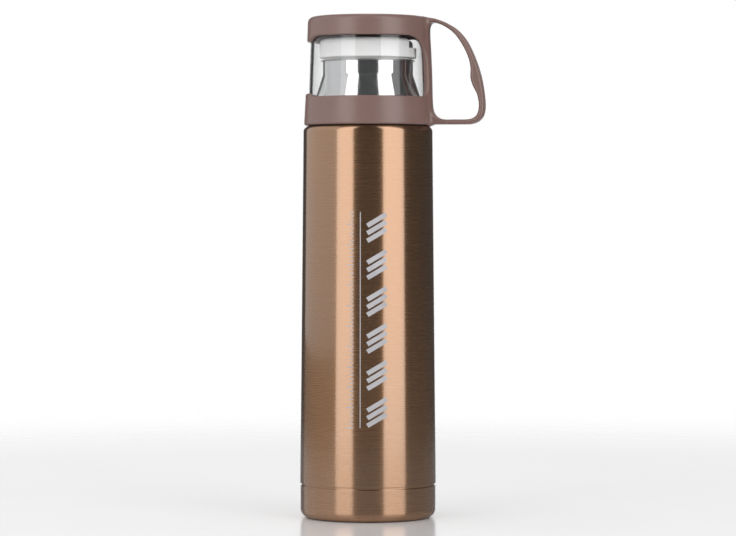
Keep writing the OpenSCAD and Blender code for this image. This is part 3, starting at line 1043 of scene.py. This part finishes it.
def dress_nodes(finishes: dict[str, Finish]) -> None:
    """Dresses CAD nodes that are shown as they are.

    Args:
        finishes: The finish of each node, by its name.
    """
    for name, finish in finishes.items():
        node = frame["nodes"][name]
        node.data.materials.clear()
        node.data.materials.append(finish.material())
        LOG.info("%s: CAD node, %s", name, finish.name)


@dataclass
class PrintedMarks:
    """A plain printed pattern on the shell: slanted stripes, a line beside them and a row of short ticks.

    Args:
        bottle: The bottle that they are printed on.
        low: Height of the column's lower end.
        cell: Height of one group of stripes.
        gap: Gap between two groups.
        cells: Number of groups.
        width: Width of the column.
        slant: How far a stripe climbs across the column.
        stroke: Width of a stripe.
        ink: Thickness of the ink.
        facing: Angle about the axis that the column's left side stands at, in degrees.
    """

    bottle: SteelBottle
    low: float = 47.0
    cell: float = 15.4
    gap: float = 2.8
    cells: int = 6
    width: float = 10.7
    slant: float = 5.6
    stroke: float = 2.3
    ink: float = 0.03
    facing: float = -83.6

    def place(self, across: np.ndarray, z: np.ndarray, lift: float) -> np.ndarray:
        """Lays points onto the shell.

        Args:
            across: Distances round the shell from the column's left side.
            z: Heights.
            lift: How far they stand off the shell.

        Returns:
            The points in space.
        """
        radius = self.bottle.shell.radius - self.bottle.taper / 2
        angle = math.radians(self.facing) + across / radius
        out = np.array([self.bottle.shell_at(height) for height in z]) + lift
        return np.stack([out * np.cos(angle), out * np.sin(angle), z], 1)

    def strip(self, line: Outline, width: float) -> tuple[np.ndarray, list[list[int]]]:
        """Lays one closed strip of ink along a line of corners.

        Args:
            line: Its corners as distances round the shell and heights.
            width: The strip's width.

        Returns:
            Its points and faces.
        """
        corners = np.array(line, float)
        ahead = np.diff(corners, axis=0)
        ahead /= np.linalg.norm(ahead, axis=1)[:, None]
        side = np.stack([-ahead[:, 1], ahead[:, 0]], 1)
        miter = np.concatenate([side[:1], side[:-1] + side[1:], side[-1:]])
        miter /= np.linalg.norm(miter, axis=1)[:, None]
        stretch = 1 / np.maximum((miter * np.concatenate([side[:1], side])).sum(1), 0.3)
        left = corners + miter * (stretch * width / 2)[:, None]
        right = corners - miter * (stretch * width / 2)[:, None]
        rows = []
        for i in range(len(corners) - 1):
            steps = max(1, round(float(np.linalg.norm(corners[i + 1] - corners[i])) / 0.8))
            for k in range(steps + (i == len(corners) - 2)):
                t = k / steps
                rows.append((left[i] * (1 - t) + left[i + 1] * t, right[i] * (1 - t) + right[i + 1] * t))
        across = max(2, round(width / 0.7) + 1)
        flat = np.array([a * (1 - s) + b * s for a, b in rows for s in np.linspace(0, 1, across)])
        points = np.concatenate([self.place(flat[:, 0], flat[:, 1], lift) for lift in (self.ink, -self.ink)])
        under = len(flat)
        faces = []
        for i in range(len(rows) - 1):
            for j in range(across - 1):
                a = i * across + j
                quad = [a, a + 1, a + across + 1, a + across]
                faces += [quad, [under + q for q in reversed(quad)]]
        ring = [i * across for i in range(len(rows))]
        ring += [(len(rows) - 1) * across + j for j in range(1, across)]
        ring += [i * across + across - 1 for i in range(len(rows) - 2, -1, -1)]
        ring += list(range(across - 2, 0, -1))
        faces += [[a, b, under + b, under + a] for a, b in zip(ring, ring[1:] + ring[:1])]
        return points, faces

    def print_strips(self, name: str, strips: Sequence[tuple[Outline, float]]) -> None:
        """Prints several strips as one piece.

        Args:
            name: The piece's name.
            strips: Each strip's line and width.
        """
        points: list[np.ndarray] = []
        faces: list[list[int]] = []
        count = 0
        for line, width in strips:
            own, own_faces = self.strip(line, width)
            faces += [[count + q for q in face] for face in own_faces]
            points.append(own)
            count += len(own)
        fit(new_piece(name, np.concatenate(points), faces), INK, Body.FLASK)

    def build(self) -> None:
        """Prints the stripes, the line and the ticks."""
        stripes = []
        for k in range(self.cells):
            foot = self.low + k * (self.cell + self.gap) + self.stroke / 2
            for step in range(3):
                z = foot + step * (self.cell - self.slant - self.stroke) / 2
                stripes.append(([(0.6, z), (self.width - 0.6, z + self.slant)], self.stroke))
        self.print_strips("printed_stripes", stripes)
        top = self.low + self.cells * (self.cell + self.gap) - self.gap
        self.print_strips("printed_line", [([(-2.9, self.low), (-2.9, top)], 0.45)])
        ticks = []
        steps = round((top - self.low) / 2.0)
        for k in range(steps + 1):
            z = self.low + (top - self.low) * k / steps
            reach = 3.6 if k % 5 == 0 else 1.9
            ticks.append(([(-6.2 - reach, z), (-6.2, z)], 0.5))
        self.print_strips("printed_ticks", ticks)


# ---- The stopper and its valve ----


@dataclass
class Stopper:
    """The stopper that screws into the neck: its plug, gasket, cover, stem seal and spring.

    Args:
        neck_r: Outside radius of the bottle's neck.
        plug_wall: Wall of the plug.
        flange_h: Thickness of the plug's flange.
        ledge_h: Thickness of the ledge that holds the cover on the flange.
        ledge_w: How far the ledge reaches in.
        cover_wall: Wall of the cover.
        corner: Radius that rounds the cover's top.
        notch: Width and depth of the pouring notch, and its ledge's height above the cover's lower edge.
        button_rim: Width of the cover's top round the button.
        guide_r: Radius of the stem's guide.
        guide_l: Length of the stem's guide.
        stem_r: Radius of the hole through the guide.
        seal_room: Radius and depth of the stem seal's room in the guide.
        rib: Thickness and height of the guide's ribs.
        port_r: Radius of the opening that the valve closes.
        spring_r: Mean radius of the spring.
        wire: Diameter of the spring's wire.
        turns: Turns of the spring.
        dead_end: The share of the wire that lies flat at each end.
        travel: How far the button goes down. It is not used.
        plug: Where the plug lies.
        cover: Where the cover lies.
        gasket: Where the gasket lies.
        spring: Where the spring lies.
    """

    neck_r: float
    plug_wall: float = 2.0
    flange_h: float = 1.4
    ledge_h: float = 1.2
    ledge_w: float = 2.45
    cover_wall: float = 1.8
    corner: float = 2.2
    notch: tuple[float, float, float] = (21.8, 5.8, 4.7)
    button_rim: float = 11.0
    guide_r: float = 4.6
    guide_l: float = 17.0
    stem_r: float = 2.06
    seal_room: tuple[float, float] = (3.46, 2.6)
    rib: tuple[float, float] = (1.4, 6.0)
    port_r: float = 8.4
    spring_r: float = 5.2
    wire: float = 0.9
    turns: int = 5
    dead_end: float = 0.14
    travel: float = 3.0
    plug: Span = field(default_factory=lambda: Span.of("stopper_body"))
    cover: Span = field(default_factory=lambda: Span.of("stopper_cover"))
    gasket: Span = field(default_factory=lambda: Span.of("stopper_gasket"))
    spring: Span = field(default_factory=lambda: Span.of("button_spring"))

    def build(self) -> None:
        """Builds and dresses the stopper's pieces."""
        self.build_gasket()
        self.build_plug()
        self.build_cover()
        self.build_spring()
        dress_nodes({"stem_seal": DARK_SILICONE_AND_GAP_SHADE})

    def build_gasket(self) -> None:
        """Turns the gasket under the plug's flange."""
        corners = ring_section(self.plug_r + 0.05, self.gasket.radius, self.gasket, (0.3, 0.3, 0.3, 0.3))
        fit(Turning("stopper_seal", corners).build(), SOFT_CLEAR, Body.GASKET, "stopper_gasket")

    @property
    def plug_r(self) -> float:
        """Outside radius of the plug's wall."""
        return self.neck_r - 3.15

    @property
    def cover_r(self) -> float:
        """Outside radius of the cover."""
        return self.neck_r + 1.7

    def build_plug(self) -> None:
        """Turns the plug, with its flange, thread and the guide for the stem on three ribs."""
        r, low, top = self.plug_r, self.plug.low, self.gasket.high
        wall_r = r - self.plug_wall
        flange_r = self.neck_r + 0.25
        corners = [
            (self.port_r, low, 0.4), (r, low, 0.8), (r, top, 0.1), (flange_r, top, 0.2),
            (flange_r, top + self.flange_h, 0.3), (wall_r, top + self.flange_h, 0.3), (wall_r, low + 2, 1.0),
            (self.port_r, low + 2, 0.4)]
        thread = Thread(r, 0.9, low + 5)
        fit(Turning("stopper_plug", corners, thread=thread).build(), PALE, Body.STOPPER, "stopper_body")
        high = self.spring.low
        seat_r = self.spring_r + self.wire / 2 + 0.8
        seal_r, seal_z = self.seal_room[0], high - self.seal_room[1]
        guide = [
            (self.stem_r, high - self.guide_l, 0.2), (self.guide_r, high - self.guide_l, 0.4),
            (self.guide_r, high - 1.2, 0.3), (seat_r, high - 1.2, 0.2), (seat_r, high, 0.2),
            (seal_r, high, 0.1), (seal_r, seal_z, 0.1), (self.stem_r, seal_z, 0.1)]
        fit(Turning("stem_guide", guide, segments=96).build(), PALE, Body.STOPPER, "stopper_body")
        self.build_ribs(high - self.guide_l, wall_r)

    def build_ribs(self, low: float, wall_r: float) -> None:
        """Builds the three ribs that hold the guide.

        Args:
            low: Height of their lower edges.
            wall_r: Inside radius of the plug's wall.
        """
        points: list[tuple[float, float, float]] = []
        faces: list[list[int]] = []
        half, high = self.rib[0] / 2, low + self.rib[1]
        for k in range(3):
            turn = math.radians(120 * k)
            along = Vector((math.cos(turn), math.sin(turn)))
            aside = Vector((-math.sin(turn), math.cos(turn)))
            rim = round_corners(
                [(-half, low, 0.3), (half, low, 0.3), (half, high, 0.5), (-half, high, 0.5)], True, 0.3, 4)
            first = len(points)
            for reach in (self.guide_r - 0.3, wall_r + 0.3):
                for side, z in rim:
                    spot = along * reach + aside * side
                    points.append((spot.x, spot.y, z))
            n = len(rim)
            faces += quads_between(first, n)
            faces += [list(range(first, first + n)), list(range(first + n, first + 2 * n))]
        fit(new_piece("guide_ribs", np.array(points), faces), PALE, Body.STOPPER, "stopper_body")

    def build_cover(self) -> None:
        """Turns the cover and cuts its pouring notch, on the handle's side."""
        low, top, outer = self.cover.low, self.cover.high, self.cover_r
        room_r, hole_r = outer - self.cover_wall, outer - self.button_rim
        inner, ledge = self.neck_r + 0.3, self.gasket.high + self.flange_h + 0.05
        hold_r, hold_z = inner - self.ledge_w, ledge + self.ledge_h
        corners = [
            (inner, low, 0.2), (outer, low, 0.8), (outer, top, self.corner), (hole_r, top, 0.5),
            (hole_r, top - self.cover_wall, 0.2), (room_r, top - self.cover_wall, 0.8),
            (room_r, hold_z, 0.3), (hold_r, hold_z, 0.3), (hold_r, ledge, 0.2), (inner, ledge, 0.2)]
        cover = Turning("stopper_cap", corners, segments=192).build()
        width, depth, sill = self.notch
        half, shelf, back = width / 2, low + sill, outer - depth
        clear = outer + 3
        notch = round_corners(
            [(-half, back, 1.2), (half, back, 1.2), (half, clear, 0), (-half, clear, 0)], True, 0)
        n = len(notch)
        points = [(x, y, z) for z in (shelf, top + 3) for y, x in notch]
        faces = [*quads_between(0, n), list(range(n)), list(range(n, 2 * n))]
        cut(cover, new_piece("notch_cutter", np.array(points), faces))
        self.round_edges(cover, shelf)
        fit(cover, PALE, Body.STOPPER, "stopper_cover")

    def round_edges(self, cover: bpy.types.Object, shelf: float) -> None:
        """Rounds the edges that the notch left.

        Args:
            cover: The cover.
            shelf: Height of the notch's ledge.
        """
        work = bmesh.new()
        work.from_mesh(cover.data)
        bmesh.ops.remove_doubles(work, verts=work.verts, dist=0.01 * MM)
        half, back = self.notch[0] / 2 * MM, (self.cover_r - self.notch[1]) * MM
        slack = 0.02 * MM

        def in_cut(vert: bmesh.types.BMVert) -> bool:
            """Tells whether a point lies on one of the notch's faces."""
            x, y, z = vert.co
            if x < back - slack or abs(y) > half + slack or z < shelf * MM - slack:
                return False
            return x < back + slack or abs(y) > half - slack or z < shelf * MM + slack

        edges = [edge for edge in work.edges if all(in_cut(vert) for vert in edge.verts)
                 and len(edge.link_faces) == 2 and edge.calc_face_angle() > math.radians(50)]
        bmesh.ops.bevel(work, geom=edges, offset=0.25 * MM, segments=2, affect="EDGES", clamp_overlap=True)
        work.to_mesh(cover.data)
        work.free()
        cover.data.shade_smooth()
        cover.data.set_sharp_from_angle(angle=math.radians(SHARP))

    def build_spring(self) -> None:
        """Coils the spring with closed ends."""
        low, high = self.spring.low + self.wire / 2, self.spring.high - self.wire / 2
        share = np.linspace(0, 1, self.turns * 48 + 1)
        climb = np.clip((share - self.dead_end) / (1 - 2 * self.dead_end), 0, 1)
        turn = share * self.turns * math.tau
        rise = low + (high - low) * climb
        line = np.stack([self.spring_r * np.cos(turn), self.spring_r * np.sin(turn), rise], 1)
        spring = fit(tube("button_coil", line, self.wire / 2), WIRE, Body.STOPPER, "button_spring")
        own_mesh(spring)


@dataclass
class PushValve:
    """The button on top of the stopper and the valve that it opens.

    Args:
        stem_r: Radius of the stem.
        wall: Wall of the button's skirt.
        dish: How far the button's face is dished.
        thickness: Thickness of the button's face.
        button: Where the button lies.
        stem: Where the stem lies.
        washer: Where the washer lies.
        plate: Where the plate lies.
    """

    stem_r: float = 2.0
    wall: float = 1.5
    dish: float = 0.5
    thickness: float = 2.0
    button: Span = field(default_factory=lambda: Span.of("push_button"))
    stem: Span = field(default_factory=lambda: Span.of("valve_stem"))
    washer: Span = field(default_factory=lambda: Span.of("valve_washer"))
    plate: Span = field(default_factory=lambda: Span.of("valve_plate"))

    def build(self) -> None:
        """Builds and dresses the button and the valve."""
        top, low, outer = self.button.high, self.button.low, self.button.radius
        r, roof = outer - 1.4, top - self.thickness
        rim = top - 1.4
        corners = [
            (0, top - self.dish), (r - 5, top - self.dish * 0.8, 6.0), (r - 1.6, top, 1.6), (r, top, 1.0),
            (r, rim, 0.1), (outer, rim, 0.2), (outer, rim - 1.2, 0.2), (r, rim - 1.2, 0.1), (r, low, 0.3),
            (r - self.wall, low, 0.3), (r - self.wall, roof, 0.6), (4, roof, 0.4), (4, roof - 3, 0.2),
            (self.stem_r + 0.05, roof - 3, 0.1), (self.stem_r + 0.05, roof, 0.1), (0, roof)]
        fit(Turning("button_cap", corners, segments=144).build(), PALE, Body.BUTTON, "push_button")
        seat = self.washer.high
        rod_r, collar_r = self.stem_r, self.stem_r + 3
        stem = [
            (0, self.stem.low), (rod_r + 0.4, self.stem.low, 0.3), (rod_r + 0.8, self.plate.low, 0.2),
            (rod_r, self.plate.low, 0.05), (rod_r, seat, 0.1), (collar_r, seat, 0.2),
            (collar_r, seat + 1, 0.3), (rod_r, seat + 1, 0.4), (rod_r, self.stem.high, 0.4),
            (0, self.stem.high)]
        fit(Turning("valve_rod", stem, segments=72).build(), NATURAL, Body.BUTTON, "valve_stem")
        inner = rod_r + 0.05
        washer = ring_section(inner, self.washer.radius, self.washer, (0.2, 0.7, 0.4, 0.2))
        fit(Turning("valve_seal", washer, segments=144).build(), SOFT_CLEAR, Body.BUTTON, "valve_washer")
        plate = ring_section(inner, self.plate.radius, self.plate, (0.2, 0.5, 0.2, 0.2))
        fit(Turning("valve_disc", plate, segments=144).build(), PALE, Body.BUTTON, "valve_plate")


# ---- The cup ----


def smooth_line(points: Outline, loop: bool, steps: int = 10) -> np.ndarray:
    """Draws a smooth line through points.

    Args:
        points: The points.
        loop: Whether the last joins the first.
        steps: Steps between two points.

    Returns:
        The line's points.
    """
    own = np.array(points, float)
    last = len(own) - 1
    out = []
    for i in range(last + 1 if loop else last):
        near = range(i - 1, i + 3)
        a, b, c, d = (own[k % (last + 1)] if loop else own[max(0, min(last, k))] for k in near)
        for k in range(steps):
            t = k / steps
            out.append((2 * b + (c - a) * t + (2 * a - 5 * b + 4 * c - d) * t ** 2
                        + (3 * b - a - 3 * c + d) * t ** 3) / 2)
    return np.array(out)


@dataclass
class Cup:
    """The drinking cup that covers the stopper: a clear liner, a brown frame with a handle and a seat ring.

    Args:
        wall: Wall of the frame at its foot.
        low_band: Height of the lower band.
        drop: How far the foot's rounded edge reaches below the CAD frame.
        top_band: Height of the top band.
        lid: Thickness of the frame's lid.
        corner: Radius that rounds the lid.
        liner_corner: Radius that rounds the liner's floor.
        floor: Thickness of the liner's floor.
        mouth_wall: Wall of the liner at its mouth.
        tapers: How much the frame narrows over the lower band, the windows and the top band.
        strap_w: Width of the handle's strap.
        strap_edge: Radius of the strap's edges.
        pillar_edge: How far the pillar stands beyond the strap on each side.
        window_top: Radius of the window's top corners beside the handle.
        window_r: Radius of its bottom corners beside the handle.
        window_edge: Rounding of the window's edges.
        lug_w: Half-width of the lugs opposite the handle, where they leave the bands.
        lug_r: Radius of the fillets beside the lugs.
        lugs: Heights of the lower band's lug and of the top band's.
        fillet: Fillet where the handle leaves the frame.
        handle_outer: The handle's outer line, out from the foot and up from it.
        handle_hole: The line of the hole in the handle.
        frame: Where the frame lies.
        liner: Where the liner lies.
        seat: Where the seat ring lies.
    """

    wall: float = 1.9
    low_band: float = 13.7
    drop: float = 0.4
    top_band: float = 10.5
    lid: float = 2.3
    corner: float = 3.0
    liner_corner: float = 3.0
    floor: float = 1.8
    mouth_wall: float = 2.05
    tapers: tuple[float, float, float] = (0.7, 0.95, 0.35)
    strap_w: float = 10.0
    strap_edge: float = 1.4
    pillar_edge: float = 0.4
    window_top: float = 14.3
    window_r: float = 5.5
    window_edge: float = 0.9
    lug_w: float = 20.5
    lug_r: float = 14.0
    lugs: tuple[float, float] = (1.7, 2.4)
    fillet: float = 2.8
    handle_outer: Outline = (
        (-6, 51), (-3.5, 52.4), (-1, 52.9), (2, 52.5), (5, 51.5), (8.5, 50), (13.5, 46.7), (18.2, 41),
        (22, 33), (24.7, 25), (26.3, 17), (27, 9.5), (26.4, 5), (24.9, 2.5), (22.6, 0.8), (19.5, 0))
    handle_hole: Outline = (
        (1.4, 50.6), (6.2, 49), (11.8, 45), (16.1, 39), (18.9, 33), (20, 28), (20, 23), (21.2, 19),
        (23.2, 15), (24.2, 10), (23.7, 6), (22.2, 3.7), (19, 2.5), (12, 2.4), (6.5, 2.5), (3, 3.9),
        (0.6, 7.2), (-0.1, 13), (-0.3, 24), (-0.9, 36), (-1.5, 45), (-0.9, 49))
    frame: Span = field(default_factory=lambda: Span.of("cup_frame"))
    liner: Span = field(default_factory=lambda: Span.of("cup_liner"))
    seat: Span = field(default_factory=lambda: Span.of("cup_seat_ring"))

    @property
    def foot_r(self) -> float:
        """Outside radius of the frame's foot."""
        return self.liner.radius + 0.05 + self.wall

    @property
    def radii(self) -> tuple[float, float, float]:
        """Outside radii above the lower band, below the top band and at the lid."""
        low = self.foot_r - self.tapers[0]
        high = low - self.tapers[1]
        return low, high, high - self.tapers[2]

    @property
    def thread_r(self) -> float:
        """Inside radius of the liner's threaded mouth."""
        return self.liner.radius - self.mouth_wall

    def build(self) -> None:
        """Builds and dresses the cup's pieces."""
        self.build_seat()
        self.build_liner()
        self.build_frame()

    def build_seat(self) -> None:
        """Turns the soft ring in the cup's mouth. Its dark colour is partly painted shade for the gap between
        the cup and the shoulder.
        """
        corners = ring_section(self.thread_r, self.seat.radius, self.seat, (0.4, 0.4, 0.2, 0.2))
        # The ring's dark colour is partly painted shade for the gap between the cup and the shoulder.
        fit(Turning("cup_seal", corners).build(), DARK_SILICONE_AND_GAP_SHADE, Body.SEAT_RING, "cup_seat_ring")

    def build_liner(self) -> None:
        """Turns the clear liner, with the thread in its mouth."""
        low, top, mouth_r = self.liner.low, self.liner.high, self.liner.radius
        band_z = self.frame.low + self.low_band
        top_r = self.radii[2] - self.wall + 0.3
        inner_r, ceiling = top_r - self.floor, top - self.floor
        corners = [
            (0, top), (top_r, top, self.liner_corner), (mouth_r, low, 0.3), (self.thread_r, low, 0.5),
            (self.thread_r, band_z, 4.0), (inner_r, ceiling, self.liner_corner), (0, ceiling)]
        thread = Thread(self.thread_r, -0.9, self.seat.low + 3.4)
        fit(Turning("clear_liner", corners, thread=thread).build(), CLEAR, Body.CUP, "cup_liner")

    def sections(self) -> tuple[OutlineField, OutlineField]:
        """Returns the distances to the frame's outside and to the room inside it, over radius and height."""
        foot, top = self.frame.low - self.drop, self.frame.high
        low_r, high_r, top_r = self.radii
        band_z, window_z = self.frame.low + self.low_band, top - self.top_band
        outside = round_corners([
            (-30, foot), (self.foot_r, foot, 0.8), (low_r, band_z - 0.6, 0), (high_r, window_z + 0.6, 0),
            (top_r, top - 0.25, self.corner), (0, top, 0), (-30, top)], True, 0, 12)
        lid_z, room_r = top - self.lid, self.liner.radius + 0.05
        high_room = top_r - self.wall + 0.35
        room = round_corners([
            (-30, foot - 3), (room_r, foot - 3), (room_r, self.liner.low, 0),
            (high_room, lid_z, self.liner_corner), (-30, lid_z)], True, 0, 12)
        return OutlineField([np.array(outside)]), OutlineField([np.array(room)])

    def handle(self) -> OutlineField:
        """Returns the distances to the handle's side face, over X and height."""
        def drawn(line: np.ndarray) -> np.ndarray:
            """Sets a line of the handle against the frame."""
            return line * [1, (self.frame.high - self.frame.low) / 53.9] + [self.foot_r, self.frame.low]

        outer = np.concatenate([smooth_line(self.handle_outer, False), [(19.5, 0), (-4, 0), (-6, 10)]])
        return OutlineField([drawn(outer), drawn(smooth_line(self.handle_hole, True))])

    def build_frame(self) -> None:
        """Moulds the frame in one piece with its handle."""
        outside, room = self.sections()
        handle = self.handle()
        band_z, window_z = self.frame.low + self.low_band, self.frame.high - self.top_band
        pillar, shift = self.strap_w / 2 + self.pillar_edge, self.lugs[1] - self.lugs[0]

        def distance(points: np.ndarray) -> np.ndarray:
            """Gives the distance to the frame's skin at rows of points."""
            x, y, z = points.T
            r = np.hypot(x, y)
            upper = window_z - z < z - band_z
            inward = np.where(upper, window_z - z, z - band_z)
            near = rounded_meet(pillar - np.abs(y), -inward, np.where(upper, self.window_top, self.window_r))
            reach = np.clip(self.lug_w - np.abs(y), 0, 0.8 * self.lug_r)
            flank = self.lug_r - np.sqrt(self.lug_r ** 2 - reach ** 2)
            lug = soft_min(flank, self.lugs[0] + shift * upper, 0.9)
            window = np.where(x > 0, near, lug - inward)
            shell = soft_max(outside.at(r, z), -window, self.window_edge)
            strap = rounded_meet(handle.at(x, z), np.abs(y) - self.strap_w / 2, self.strap_edge)
            return soft_max(soft_min(shell, strap, self.fillet), -room.at(r, z), 0.4)

        low = (-self.foot_r, -self.foot_r, self.frame.low - self.drop)
        high = (self.frame.radius, self.foot_r, self.frame.high)
        fit(Moulding(distance, low, high, 0.45).build("brown_frame"), BROWN, Body.CUP, "cup_frame")


# ---- The studio ----


@dataclass(frozen=True)
class Softbox:
    """A tall soft light that stands round the flask.

    Args:
        name: Its name.
        start: Angle of its left edge from the camera's side, in degrees.
        end: Angle of its right edge.
        glow: How bright its face is.
        away: Its distance from the axis.
        height: Its height.
        middle: Height of its middle above the floor.
    """

    name: str
    start: float
    end: float
    glow: float
    away: float = 900.0
    height: float = 2500.0
    middle: float = 1100.0

    def build(self, facing: float) -> None:
        """Places the light.

        Args:
            facing: Angle of the camera's side about the axis, in degrees.
        """
        angle = math.radians(facing + (self.start + self.end) / 2)
        lamp = bpy.data.lights.new(self.name, "AREA")
        lamp.shape = "RECTANGLE"
        lamp.size = 2 * self.away * math.tan(math.radians(self.end - self.start) / 2) * MM
        lamp.size_y = self.height * MM
        lamp.energy = self.glow * math.pi * lamp.size * lamp.size_y
        light = bpy.data.objects.new(self.name, lamp)
        bpy.context.scene.collection.objects.link(light)
        light.location = Vector((math.cos(angle) * self.away, math.sin(angle) * self.away, self.middle)) * MM
        inward = Vector((-math.cos(angle), -math.sin(angle), 0))
        light.rotation_euler = inward.to_track_quat("-Z", "Y").to_euler()
        light.visible_camera = False


@dataclass
class Studio:
    """A plain pale floor that fades into a white room, soft lights and the camera.

    Args:
        facing: Angle of the camera's side about the axis, in degrees.
        away: The camera's distance from the axis.
        eye: The camera's height.
        aim: Height on the axis that the camera looks at.
        lens: The camera's focal length on a frame 36 mm wide.
        floor_r: Radius of the floor.
        fade: Radii between which the floor fades out.
        ambient: How much light the room gives plain surfaces.
        gloom: How bright the room is in mirrors, away from the backdrop.
        backdrop: Angles from straight behind at which the white backdrop begins and ends to fade.
        lights: The soft lights.
    """

    facing: float = -82.0
    away: float = 1505.0
    eye: float = 152.9
    aim: float = 125.2
    lens: float = 146.4
    floor_r: float = 1500.0
    fade: tuple[float, float] = (350.0, 880.0)
    ambient: float = 0.6
    gloom: float = 0.06
    backdrop: tuple[float, float] = (11.0, 15.0)
    lights: tuple[Softbox, ...] = (
        Softbox("left_softbox", -56, -25.4, 1.34),
        Softbox("right_softbox", 26, 65, 1.4),
        Softbox("left_panel", -139, -57, 0.5, height=1700, middle=900))

    def build(self) -> None:
        """Sets up the camera, the floor, the lights and the room."""
        self.build_camera()
        self.build_floor()
        self.build_room()
        for light in self.lights:
            light.build(self.facing)
        bpy.context.scene.view_settings.view_transform = "Standard"

    def build_camera(self) -> None:
        """Places the camera and makes it the scene's."""
        lens = bpy.data.cameras.new("camera")
        lens.lens, lens.sensor_width = self.lens, 36.0
        camera = bpy.data.objects.new("camera", lens)
        bpy.context.scene.collection.objects.link(camera)
        angle = math.radians(self.facing)
        camera.location = Vector((math.cos(angle) * self.away, math.sin(angle) * self.away, self.eye)) * MM
        target = Vector((0, 0, self.aim)) * MM
        camera.rotation_euler = (target - camera.location).to_track_quat("-Z", "Y").to_euler()
        bpy.context.scene.camera = camera

    def build_floor(self) -> None:
        """Lays a round floor with a soft gloss."""
        sides, shares = 96, (0.1, 0.3, 0.6, 1.0)
        turn = np.linspace(0, math.tau, sides, endpoint=False)
        points = [(0.0, 0.0, 0.0)]
        for radius in (self.floor_r * share for share in shares):
            points += [(radius * math.cos(t), radius * math.sin(t), 0.0) for t in turn]
        faces = [[0, 1 + j, 1 + (j + 1) % sides] for j in range(sides)]
        for ring in range(len(shares) - 1):
            faces += quads_between(1 + sides * ring, sides)
        floor = new_piece("studio_floor", np.array(points), faces)
        material = bpy.data.materials.new("pale_floor")
        tree = Tree(material)
        own = tree.node("TexCoord", {}).outputs["Object"]
        away = tree.node("VectorMath", {0: own}, operation="LENGTH").outputs["Value"]
        inputs = {0: away, 1: self.fade[0] * MM, 2: self.fade[1] * MM, 3: 0.0, 4: 1.0}
        share = tree.node("MapRange", inputs, interpolation_type="SMOOTHSTEP").outputs[0]
        cloud = tree.noise((9.0, 9.0, 9.0))
        tree.fill(tree.shader, {
            "Base Color": tree.between(
                tree.spread(cloud, 0.0, 1.0), (0.80, 0.795, 0.80), (0.82, 0.815, 0.82)),
            "Roughness": 0.2, "Specular IOR Level": 0.8})
        clear = tree.node("BsdfTransparent", {}).outputs[0]
        both = tree.node("MixShader", {0: share, 1: tree.shader.outputs[0], 2: clear})
        tree.links.new(both.outputs[0], tree.output.inputs["Surface"])
        floor.data.materials.append(material)

    def build_room(self) -> None:
        """Makes the room white to look at, dim in mirrors and soft for plain surfaces."""
        world = bpy.data.worlds.new("white_room")
        bpy.context.scene.world = world
        world.use_nodes = True
        nodes, links = world.node_tree.nodes, world.node_tree.links
        nodes.clear()
        path = nodes.new("ShaderNodeLightPath")
        drop = self.shade_backdrop(nodes, links)
        lit = self.shade_room(nodes, links, path.outputs["Diffuse Depth"], 1.0, self.ambient)
        mirrored = self.shade_room(nodes, links, drop, self.gloom, 1.0)
        seen = self.shade_room(nodes, links, path.outputs["Glossy Depth"], lit, mirrored)
        background = nodes.new("ShaderNodeBackground")
        links.new(seen, background.inputs["Strength"])
        background.inputs["Color"].default_value = (1.0, 1.0, 1.0, 1.0)
        links.new(background.outputs[0], nodes.new("ShaderNodeOutputWorld").inputs["Surface"])

    def shade_backdrop(self, nodes: bpy.types.Nodes, links: bpy.types.NodeLinks) -> Socket:
        """Marks the white backdrop, a strip of the room behind the flask.

        Args:
            nodes: The room's nodes.
            links: Their links.

        Returns:
            A share that is 1 in the strip's directions and 0 elsewhere.
        """
        away = nodes.new("ShaderNodeTexCoord").outputs["Generated"]
        flat = nodes.new("ShaderNodeVectorMath")
        flat.operation = "MULTIPLY"
        flat.inputs[1].default_value = (1.0, 1.0, 0.0)
        links.new(away, flat.inputs[0])
        level = nodes.new("ShaderNodeVectorMath")
        level.operation = "NORMALIZE"
        links.new(flat.outputs[0], level.inputs[0])
        facing = math.radians(self.facing)
        along = nodes.new("ShaderNodeVectorMath")
        along.operation = "DOT_PRODUCT"
        along.inputs[1].default_value = (-math.cos(facing), -math.sin(facing), 0.0)
        links.new(level.outputs[0], along.inputs[0])
        share = nodes.new("ShaderNodeMapRange")
        edge = [math.cos(math.radians(angle)) for angle in self.backdrop]
        share.inputs[1].default_value, share.inputs[2].default_value = edge[1], edge[0]
        links.new(along.outputs["Value"], share.inputs[0])
        return share.outputs[0]

    def shade_room(self, nodes: bpy.types.Nodes, links: bpy.types.NodeLinks, share: Socket,
                   first: Socket | float, second: Socket | float) -> Socket:
        """Chooses between two brightnesses of the room.

        Args:
            nodes: The room's nodes.
            links: Their links.
            share: The second's share. Above 1 it counts as 1.
            first: The brightness at 0.
            second: The brightness at 1.

        Returns:
            The brightness.
        """
        mix = nodes.new("ShaderNodeMix")
        links.new(share, mix.inputs[0])
        for slot, value in ((2, first), (3, second)):
            if isinstance(value, Socket):
                links.new(value, mix.inputs[slot])
            else:
                mix.inputs[slot].default_value = value
        return mix.outputs[0]


def main() -> None:
    """Builds the studio and the flask."""
    logging.basicConfig(level=logging.INFO, format="%(name)s %(message)s")
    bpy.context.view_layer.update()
    Studio().build()
    bottle = SteelBottle()
    bottle.build()
    PrintedMarks(bottle).build()
    Stopper(bottle.neck_r).build()
    PushValve().build()
    Cup().build()


if __name__ == "__main__":
    main()
